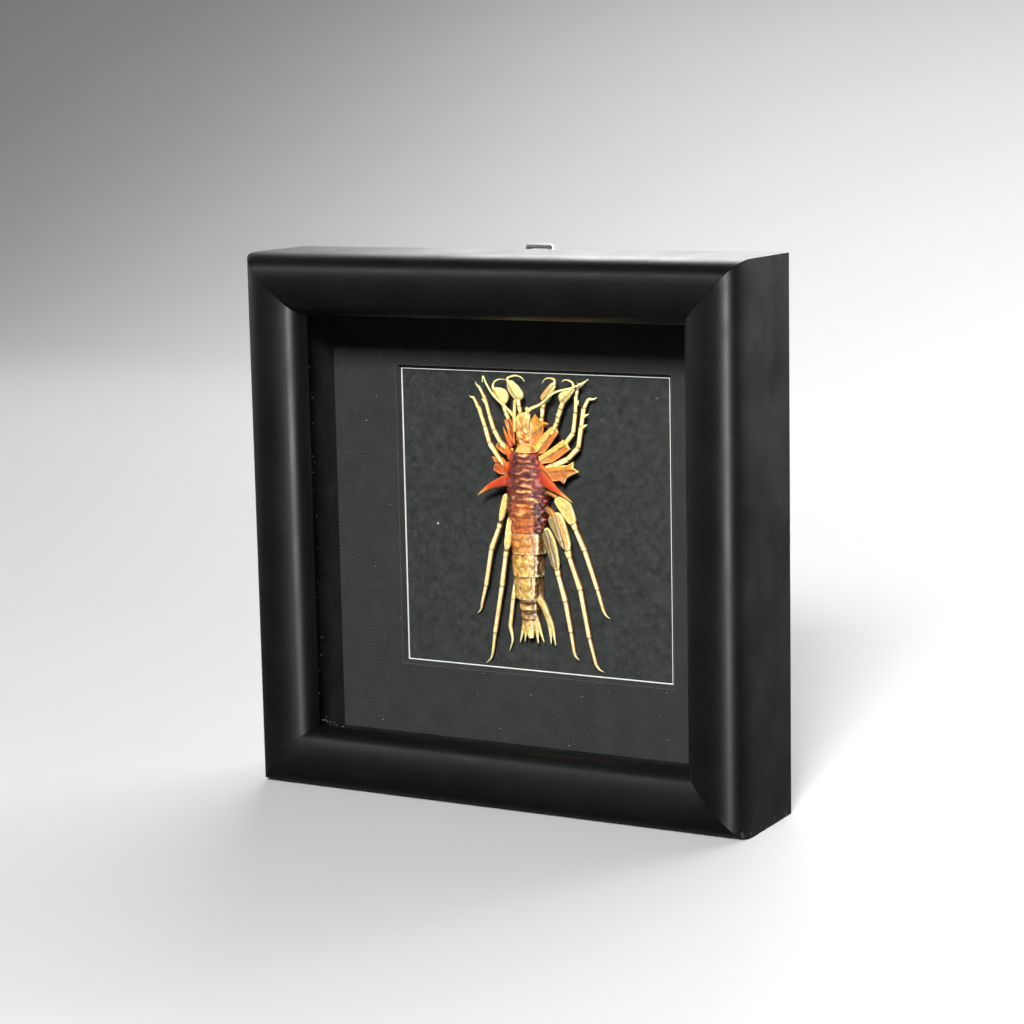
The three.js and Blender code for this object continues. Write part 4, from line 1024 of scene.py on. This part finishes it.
for arm, outline, finger, colour in CLAWS:
    joints = [(x, y, z, r, r) for x, y, z, r in arm]
    for k in range(len(joints) - 1):
        limb_parts.append(article(joints[k], joints[k + 1], (CREAM, PALE), joint=0.6, rough=0.1))
    crease = (outline[0], arm[-1][:2])
    limb_parts.append(leaf(outline, CLAW_HEIGHT, CLAW_HEIGHT, CREAM, PALE, colour, crease, 2,
                           PILLOW_LOOPS, 1.25, 0.55))
    girths = [0.44 - 0.38 * i / (len(finger) - 1) for i in range(len(finger))]
    hook = [(x, y, CLAW_HEIGHT + 0.3, girth, girth) for (x, y), girth in zip(finger, girths)]
    limb_parts.append(tube(hook, 30, 14, (CREAM, PALE), 0.6, 0.1))

# foot and tip of the larger spurs on the forward legs
SPURS = [((16.6, 30.0), (18.7, 31.2)), ((16.4, 27.2), (18.2, 28.3)), ((15.0, 33.4), (15.7, 34.8)),
         ((15.3, 38.2), (17.2, 39.0)), ((-15.1, 31.3), (-16.5, 32.0)), ((-14.5, 29.6), (-15.7, 30.4)),
         ((-13.8, 28.0), (-15.0, 28.8)), ((-13.2, 33.2), (-14.5, 34.1)), ((9.6, 30.0), (8.6, 30.8)),
         ((10.4, 32.2), (9.4, 32.9))]
for (x0, y0), (x1, y1) in SPURS:
    line = [(x0, y0, 2.9, 0.62, 0.45), ((x0 + x1) / 2, (y0 + y1) / 2, 3.0, 0.42, 0.34),
            (x1, y1, 2.9, 0.05, 0.05)]
    limb_parts.append(tube(line, 10, 10, (CREAM, PALE), 0.5, 0.1))

# lines of [x, y, z, radius]; the thin part is ringed like a whip
FEELERS = [
    [(-1, 27.5, 5, .7), (-2.8, 29.4, 4.9, .6), (-5.6, 32, 5, .35), (-9.6, 35.4, 5, .3), (-12, 38.9, 5, .25),
     (-12.9, 40.5, 4.8, .2), (-13.3, 38.9, 4.6, .12)],
    [(.6, 28, 5, .7), (.8, 31, 5, .6), (5, 33.5, 5, .35), (9.4, 36.8, 5, .3), (15.2, 38.5, 4.6, .25),
     (19.2, 40.6, 4, .12)],
]
FEELER_ROWS, FEELER_STALK = 150, 40
for line in FEELERS:
    rows = eased([(x, y, z, r, r) for x, y, z, r in line], FEELER_ROWS)
    rows[FEELER_STALK:, 3:] *= 1 + 0.14 * np.sin(np.arange(FEELER_ROWS - FEELER_STALK) * np.pi / 2)[:, None]
    points, faces, share, _ = loft(rows, 10)
    limb_parts.append((points, faces, tinted(CREAM, PALE, share), 0.5))

# the end plate and the forked rods of the tail fan
TAIL = [
    [(-.9, -27, 2.6, 1.6, 1), (-.7, -30, 2.8, 1.4, .7), (-.4, -32.2, 2.8, .8, .4)],
    [(-2, -25, 2, .9, .8), (-2.9, -29, 2.2, .7, .6), (-4.4, -33.9, 2, .1, .1)],
    [(-1.8, -27, 2.2, .7, .6), (-2.1, -30, 2.5, .55, .5), (-2.6, -33.4, 2.5, .1, .1)],
    [(.3, -25, 2.2, .8, .7), (1.2, -29.4, 2.5, .7, .5), (1.6, -33.6, 2.5, .15, .12)],
    [(.4, -25, 2.2, .8, .7), (1.9, -29, 2.4, .65, .5), (3.4, -33.2, 2.4, .12, .12)],
    [(.4, -19, 2.6, 1.1, .8), (2.8, -21.6, 2.6, 1.1, .7), (5, -27.4, 2.2, .8, .6), (5.4, -33.6, 2, .15, .12)],
    [(3.2, -22.6, 2.6, .9, .6), (5.6, -27.6, 2.2, .75, .6), (6.8, -33.8, 2, .15, .12)],
]
for number, line in enumerate(TAIL):
    mottle = 0.6 if number == 0 else 0.35
    limb_parts.append(tube(line, 30, 18, (dye(206, 164, 96), CREAM, PALE), 0.5, mottle))
grown_piece("amphipod_limbs", limb_parts, shell)

# Bristles: short pale spurs that stand along both edges of the forward legs and lean toward the toes. They
# grew from the shell.
BRISTLE = {"Step": 3.4 * MM, "Long": 1.1 * MM, "Thick": 0.14 * MM, "Lean": 0.6, "Seed": 4}
horn, tree, shader, place = new_finish("pale_bristle", Roughness=0.45)
feed(shader, "Base Color",
     mixed(tree, grain(tree, place, 900.0), (0.62, 0.44, 0.20, 1), (0.82, 0.68, 0.38, 1)))
spurs, given = rule_tree("leg_bristles", {"Step": "Float", "Long": "Float", "Thick": "Float", "Lean": "Float",
                                          "Seed": "Int"})
lines = put(spurs, "GeometryNodeMeshToCurve", {"Mesh": given["Geometry"]}).outputs["Curve"]
lines = put(spurs, "GeometryNodeResampleCurve", {"Curve": lines, "Length": given["Step"]},
            mode="LENGTH").outputs["Curve"]
ahead = put(spurs, "GeometryNodeInputTangent").outputs[0]
aside = put(spurs, "ShaderNodeVectorMath", {0: ahead, 1: (0, 1, 0)}, operation="CROSS_PRODUCT").outputs[0]
index = put(spurs, "GeometryNodeInputIndex").outputs[0]
flip = sums(spurs, "MULTIPLY_ADD", sums(spurs, "FLOORED_MODULO", index, 2.0), 2.0, -1.0)
aside = put(spurs, "ShaderNodeVectorMath", {0: aside, "Scale": flip}, operation="SCALE").outputs[0]
leaning = put(spurs, "ShaderNodeVectorMath", {0: ahead, "Scale": given["Lean"]}, operation="SCALE").outputs[0]
toward = put(spurs, "ShaderNodeVectorMath", {0: aside, 1: leaning}).outputs[0]
pointing = put(spurs, "FunctionNodeAlignRotationToVector", {"Vector": toward}, axis="Z").outputs[0]
cone = put(spurs, "GeometryNodeMeshCone",
           {"Vertices": 8, "Side Segments": 3, "Radius Top": 0.00001, "Radius Bottom": given["Thick"],
            "Depth": given["Long"]}).outputs["Mesh"]
size = put(spurs, "FunctionNodeRandomValue", {2: 0.55, 3: 1.1, "Seed": given["Seed"]},
           data_type="FLOAT").outputs[1]
standing = put(spurs, "GeometryNodeInstanceOnPoints",
               {"Points": lines, "Instance": cone, "Rotation": pointing, "Scale": size}).outputs["Instances"]
close_tree(spurs, standing, horn)
bristle_points, bristle_edges = [], []
for _, root, joints in LEGS[:4]:
    first = len(bristle_points)
    bristle_points += [(x * MM, BOARD_FACE - z * MM, MIDDLE + y * MM) for x, y, z, *_ in joints[root:-1]]
    bristle_edges += [(k, k + 1) for k in range(first, len(bristle_points) - 1)]
seed = drawn("leg_lines", bristle_points, [], bristle_edges)
bristles = by_rule("amphipod_bristles", seed, spurs, BRISTLE)
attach(bristles, "root")
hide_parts("amphipod")

# Panel points: eight flat zinc-plated points, two to a side, that hold the panel in the rabbet. One shape is
# set along a side and round the frame by rule.
tab_low, tab_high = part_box("back_tab_1")
TAB_SPREAD = 34 * MM
TAB_BEVEL = 0.08 * MM
zinc, tree, shader, place = new_finish("zinc_plate", Metallic=1.0)
spangle = grain(tree, place, 420.0, 3.0)
brushed = put(tree, "ShaderNodeMapping", {"Vector": place, "Scale": (1, 1, 14)}).outputs["Vector"]
scuff = grain(tree, brushed, 260.0, 4.0)
feed(shader, "Base Color",
     mixed(tree, spread(tree, spangle, 0, 1, 0.3, 0.7), (0.44, 0.44, 0.42, 1), (0.66, 0.66, 0.63, 1)))
feed(shader, "Roughness", spread(tree, scuff, 0.26, 0.5))
relief(tree, shader, scuff, 0.25, 0.03 * MM)
half, long, thick = (tab_high.x - tab_low.x) / 2, tab_high.z - tab_low.z, tab_high.y - tab_low.y
tab_shape = [(-half, 0), (half, 0), (half, 0.66 * long), (0.86 * half, 0.86 * long),
             (0.5 * half, 0.97 * long), (0, long), (-0.5 * half, 0.97 * long), (-0.86 * half, 0.86 * long),
             (-half, 0.66 * long)]
shape = bmesh.new()
outer = shape.faces.new([shape.verts.new((x, thick, z)) for x, z in tab_shape])
outer.normal_update()
raised = bmesh.ops.extrude_face_region(shape, geom=[outer])
for vert in raised["geom"]:
    if isinstance(vert, bmesh.types.BMVert):
        vert.co.y = 0.0
bmesh.ops.recalc_face_normals(shape, faces=shape.faces[:])
bmesh.ops.bevel(shape, geom=shape.edges[:], offset=TAB_BEVEL, segments=2, profile=0.5, affect="EDGES")
seed = as_mesh("panel_point", shape)
points_rule, given = rule_tree("panel_points",
                               {"Spread": "Float", "Reach": "Float", "Depth": "Float", "Rise": "Float"})
start = vector(points_rule, X=sums(points_rule, "MULTIPLY", given["Spread"], -1.0),
               Z=sums(points_rule, "MULTIPLY", given["Reach"], -1.0))
gap = vector(points_rule, X=sums(points_rule, "MULTIPLY", given["Spread"], 2.0))
pair = put(points_rule, "GeometryNodeMeshLine",
           {"Count": 2, "Start Location": start, "Offset": gap}).outputs["Mesh"]
side = put(points_rule, "GeometryNodeInstanceOnPoints",
           {"Points": pair, "Instance": given["Geometry"]}).outputs[0]
side = put(points_rule, "GeometryNodeRealizeInstances", {"Geometry": side}).outputs[0]
middle = vector(points_rule, Y=given["Depth"], Z=given["Rise"])
round_it = put(points_rule, "GeometryNodeMeshLine",
               {"Count": 4, "Start Location": middle, "Offset": (0, 0, 0)})
quarter = sums(points_rule, "MULTIPLY", put(points_rule, "GeometryNodeInputIndex").outputs[0], math.pi / 2)
turn = vector(points_rule, Y=quarter)
ring = put(points_rule, "GeometryNodeInstanceOnPoints", {"Points": round_it.outputs["Mesh"], "Instance": side,
                                                         "Rotation": turn}).outputs[0]
close_tree(points_rule, ring, zinc)
tabs = by_rule("panel_points", seed, points_rule, {"Spread": TAB_SPREAD, "Reach": MIDDLE - tab_low.z,
                                                   "Depth": tab_low.y, "Rise": MIDDLE})
smooth(tabs.data, 40)
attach(tabs, "root")
for number in range(1, 9):
    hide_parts("back_tab_%d" % number)

# Hanger: a stamped plate of zinc-plated steel, screwed to the top rail and folded out so that a nail passes
# behind its bar. A cross-head screw with a full thread holds it.
hang_low, hang_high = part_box("hanger_plate")
screw_low, screw_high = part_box("hanger_screw")
TOP = 2 * HALF
HANG = {"foot": 5.5, "top": 4.0, "bar": 1.2, "slot_low": 5.2, "slot_half": 3.3, "lean": 0.4, "hole": 1.0,
        "below": 7.0}
HANG_FOLD = {"below": 4.7 * MM, "run": 1.6 * MM, "out": 2.2 * MM, "thick": 1.0 * MM, "soft": 0.15 * MM}
# cuts across the plate that let it bend: how many, how far apart, how far below the fold they start
HANG_CUTS = {"count": 13, "step": 0.25 * MM, "before": 0.9 * MM}
HANG_BEVEL = 0.09 * MM
top_mm, foot_mm = (hang_high.z - TOP) / MM, (hang_low.z - TOP) / MM


def rounded(corners, radius, steps=5):
    """A closed outline with its corners rounded."""
    corners = [np.array(corner, float) for corner in corners]
    out = []
    for before, corner, after in zip(corners[-1:] + corners[:-1], corners, corners[1:] + corners[:1]):
        a = corner + (before - corner) / np.linalg.norm(before - corner) * radius
        b = corner + (after - corner) / np.linalg.norm(after - corner) * radius
        out += [(1 - t) ** 2 * a + 2 * t * (1 - t) * corner + t * t * b for t in np.linspace(0, 1, steps)]
    return out


slot_top = top_mm - HANG["bar"]
plate_lines = [
    rounded([(-HANG["foot"], foot_mm), (HANG["foot"], foot_mm), (HANG["top"], top_mm),
             (-HANG["top"], top_mm)], 0.6),
    rounded([(-HANG["slot_half"], -HANG["slot_low"]), (HANG["slot_half"], -HANG["slot_low"]),
             (HANG["slot_half"] - HANG["lean"], slot_top), (HANG["lean"] - HANG["slot_half"], slot_top)],
            0.4),
    [(HANG["hole"] * math.cos(a), -HANG["below"] + HANG["hole"] * math.sin(a))
     for a in np.linspace(0, 2 * math.pi, 33)[:-1]],
]
curve = bpy.data.curves.new("hanger_lines", "CURVE")
curve.dimensions = "2D"
curve.fill_mode = "BOTH"
curve.extrude = HANG_FOLD["thick"] / 2 - HANG_BEVEL
curve.bevel_depth, curve.offset, curve.bevel_resolution = HANG_BEVEL, -HANG_BEVEL, 2
for line in plate_lines:
    spline = curve.splines.new("POLY")
    spline.points.add(len(line) - 1)
    for point, (x, z) in zip(spline.points, line):
        point.co = (x * MM, z * MM, 0, 1)
    spline.use_cyclic_u = True
holder = bpy.data.objects.new("hanger_lines", curve)
bpy.context.scene.collection.objects.link(holder)
flat = evaluated(holder)
bpy.data.objects.remove(holder)
bpy.data.curves.remove(curve)
shape = bmesh.new()
shape.from_mesh(flat)
bpy.data.meshes.remove(flat)
bmesh.ops.remove_doubles(shape, verts=shape.verts[:], dist=0.002 * MM)
bend = -HANG_FOLD["below"]
for step in range(HANG_CUTS["count"]):
    level = bend - HANG_CUTS["before"] + step * HANG_CUTS["step"]
    bmesh.ops.bisect_plane(shape, geom=shape.verts[:] + shape.edges[:] + shape.faces[:], dist=1e-7,
                           plane_co=(0, level, 0), plane_no=(0, 1, 0))
ease = HANG_FOLD["thick"] * math.tan(math.atan2(HANG_FOLD["out"], HANG_FOLD["run"]) / 2)
for vert in shape.verts:
    x, up, deep = vert.co
    share = deep / HANG_FOLD["thick"] + 0.5
    begin = bend - ease * share
    fold = [min(max((up + shift * HANG_FOLD["soft"] - begin) / HANG_FOLD["run"], 0), 1)
            for shift in (-1, 0, 1)]
    vert.co = (x, hang_low.y + sum(fold) / 3 * HANG_FOLD["out"] + share * HANG_FOLD["thick"], TOP + up)
bmesh.ops.recalc_face_normals(shape, faces=shape.faces[:])
plate_mesh = as_mesh("hanger_plate", shape)
smooth(plate_mesh, 36)
hanger = mesh_piece("folded_hanger", plate_mesh, zinc)
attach(hanger, "root")
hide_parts("hanger_plate")

SCREW = {"core": 0.55, "thread": 0.8, "pitch": 0.9, "head": 1.6, "brim": 0.3, "dome": 0.9, "long": 6.0}
SCREW_SIDES = 36
SCREW_STEPS = 108
SCREW_TIP = 0.1
# length and width of the cross, how narrow its foot is, and how high its foot and its open end lie
CROSS = {"long": 1.0, "wide": 0.22, "taper": 0.45, "foot": 0.3, "top": 1.2}
# radius and height of each row; the thread's radius changes round the row and is worked out below
screw_rows = [(0.05, -SCREW["long"])]
for step in range(SCREW_STEPS + 1):
    screw_rows.append((None, -SCREW["long"] + SCREW_TIP + step * (SCREW["long"] - SCREW_TIP) / SCREW_STEPS))
screw_rows += [(SCREW["head"] - 0.1, 0.0), (SCREW["head"], 0.1), (SCREW["head"], SCREW["brim"]),
               (0.94 * SCREW["head"], 0.48), (0.8 * SCREW["head"], 0.68), (0.6 * SCREW["head"], 0.81),
               (0.35 * SCREW["head"], 0.88), (0.12 * SCREW["head"], SCREW["dome"])]
screw_points = []
for radius, deep in screw_rows:
    for j in range(SCREW_SIDES):
        turn = 2 * math.pi * j / SCREW_SIDES
        size = radius
        if size is None:
            wave = (deep / SCREW["pitch"] + j / SCREW_SIDES) % 1
            ridge = max(0.0, 1 - abs(wave - 0.5) / 0.3)
            taper = min(1.0, 0.15 + (deep + SCREW["long"]) / 1.6)
            size = (SCREW["core"] + (SCREW["thread"] - SCREW["core"]) * ridge) * taper
        screw_points.append((size * math.cos(turn) * MM, deep * MM, size * math.sin(turn) * MM))
rows = len(screw_rows)
screw_faces = [(k * SCREW_SIDES + j, (k + 1) * SCREW_SIDES + j, (k + 1) * SCREW_SIDES + (j + 1) % SCREW_SIDES,
                k * SCREW_SIDES + (j + 1) % SCREW_SIDES) for k in range(rows - 1) for j in range(SCREW_SIDES)]
screw_faces += [tuple(range(SCREW_SIDES)),
                tuple(reversed(range((rows - 1) * SCREW_SIDES, rows * SCREW_SIDES)))]
screw = mesh_piece("cross_head_screw", outward(drawn("hanger_screw", screw_points, screw_faces)), zinc)
shape = bmesh.new()
for wide, tall in ((CROSS["long"], CROSS["wide"]), (CROSS["wide"], CROSS["long"])):
    for vert in bmesh.ops.create_cube(shape, size=1.0)["verts"]:
        narrow, level = (CROSS["taper"], CROSS["foot"]) if vert.co.y < 0 else (1.0, CROSS["top"])
        vert.co = (vert.co.x * 2 * wide * narrow * MM, level * MM, vert.co.z * 2 * tall * narrow * MM)
cutter = mesh_piece("cross_recess", as_mesh("cross_recess", shape))
cut = screw.modifiers.new("cut", "BOOLEAN")
cut.object, cut.operation, cut.solver, cut.use_self = cutter, "DIFFERENCE", "EXACT", True
outcome = evaluated(screw)
screw.modifiers.remove(cut)
bpy.data.objects.remove(cutter)
screw.data = outcome
outcome.name = "cross_head_screw"
outcome.transform(Matrix.Translation((0, screw_low.y + SCREW["long"] * MM, (screw_low.z + screw_high.z) / 2)))
smooth(outcome, 40)
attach(screw, "root")
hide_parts("hanger_screw")

# Dust: pale specks and flakes that settled on the mat and the paper, thickest in the corner by the left lip.
# Small stones of many sizes are scattered over strips and spots with a fixed seed.
DUST = {"Flake": 0.16 * MM, "Seed": 11}
DUST_LIFT = 0.02 * MM
dust_finish, tree, shader, place = new_finish("pale_dust", Roughness=0.95)
feed(shader, "Base Color",
     mixed(tree, grain(tree, place, 900.0), (0.30, 0.29, 0.26, 1), (0.56, 0.54, 0.50, 1)))
scatter, given = rule_tree("settled_dust", {"Density": "Float", "Flake": "Float", "Seed": "Int"})
spots = put(scatter, "GeometryNodeDistributePointsOnFaces",
            {"Mesh": given["Geometry"], "Density": given["Density"], "Seed": given["Seed"]}).outputs["Points"]
stone = put(scatter, "GeometryNodeMeshIcoSphere",
            {"Radius": given["Flake"], "Subdivisions": 1}).outputs["Mesh"]
size = put(scatter, "FunctionNodeRandomValue",
           {0: (0.2, 0.15, 0.2), 1: (1.1, 0.4, 1.1), "Seed": given["Seed"]},
           data_type="FLOAT_VECTOR").outputs[0]
fallen = put(scatter, "GeometryNodeInstanceOnPoints",
             {"Points": spots, "Instance": stone, "Scale": size}).outputs[0]
close_tree(scatter, fallen, dust_finish)


def strip(corners, y):
    """A flat patch that dust is scattered on, in millimetres from the middle of the window."""
    points = [(x * MM, y, WINDOW_MIDDLE + z * MM) for x, z in corners]
    return drawn("dust_patch", points, [tuple(range(len(corners)))])


mat_face, paper_face, pane_face = [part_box(node)[0].y - DUST_LIFT
                                   for node in ("mat_board", "mount_board", "glass")]
# name, node, slot, corners of the patch, its depth, flakes to the square metre
DUST_PATCHES = [
    ("mat_dust_left", "mat_board", "mat", [(-62, -62), (-43, -62), (-43, 62), (-62, 62)], mat_face, 5000.0),
    ("mat_dust_right", "mat_board", "mat", [(43, -62), (62, -62), (62, 62), (43, 62)], mat_face, 5000.0),
    ("mat_dust_foot", "mat_board", "mat", [(-43, -62), (43, -62), (43, -43), (-43, -43)], mat_face, 9000.0),
    ("paper_dust", "mount_board", "mount_paper", [(-40, -40), (40, -40), (40, 40), (-40, 40)], paper_face,
     1300.0),
    ("paper_speck", "mount_board", "mount_paper",
     [(-31.5, -2.2), (-31.1, -2.2), (-31.0, -1.8), (-31.4, -1.7)], paper_face, 2.0e8),
    ("lip_dust", "glass", "pane", [(-57.9, -57.8), (-56.2, -57.8), (-57.0, 40), (-57.9, 50)], pane_face,
     1.6e5),
    ("corner_dust", "glass", "pane", [(-57.9, -57.9), (-49, -57.9), (-53, -56.6), (-57.0, -54.5)], pane_face,
     9.0e5),
]
for name, node, slot, corners, y, density in DUST_PATCHES:
    dust = by_rule(name, strip(corners, y), scatter, {"Density": density, **DUST})
    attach(dust, "root")
    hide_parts(node)
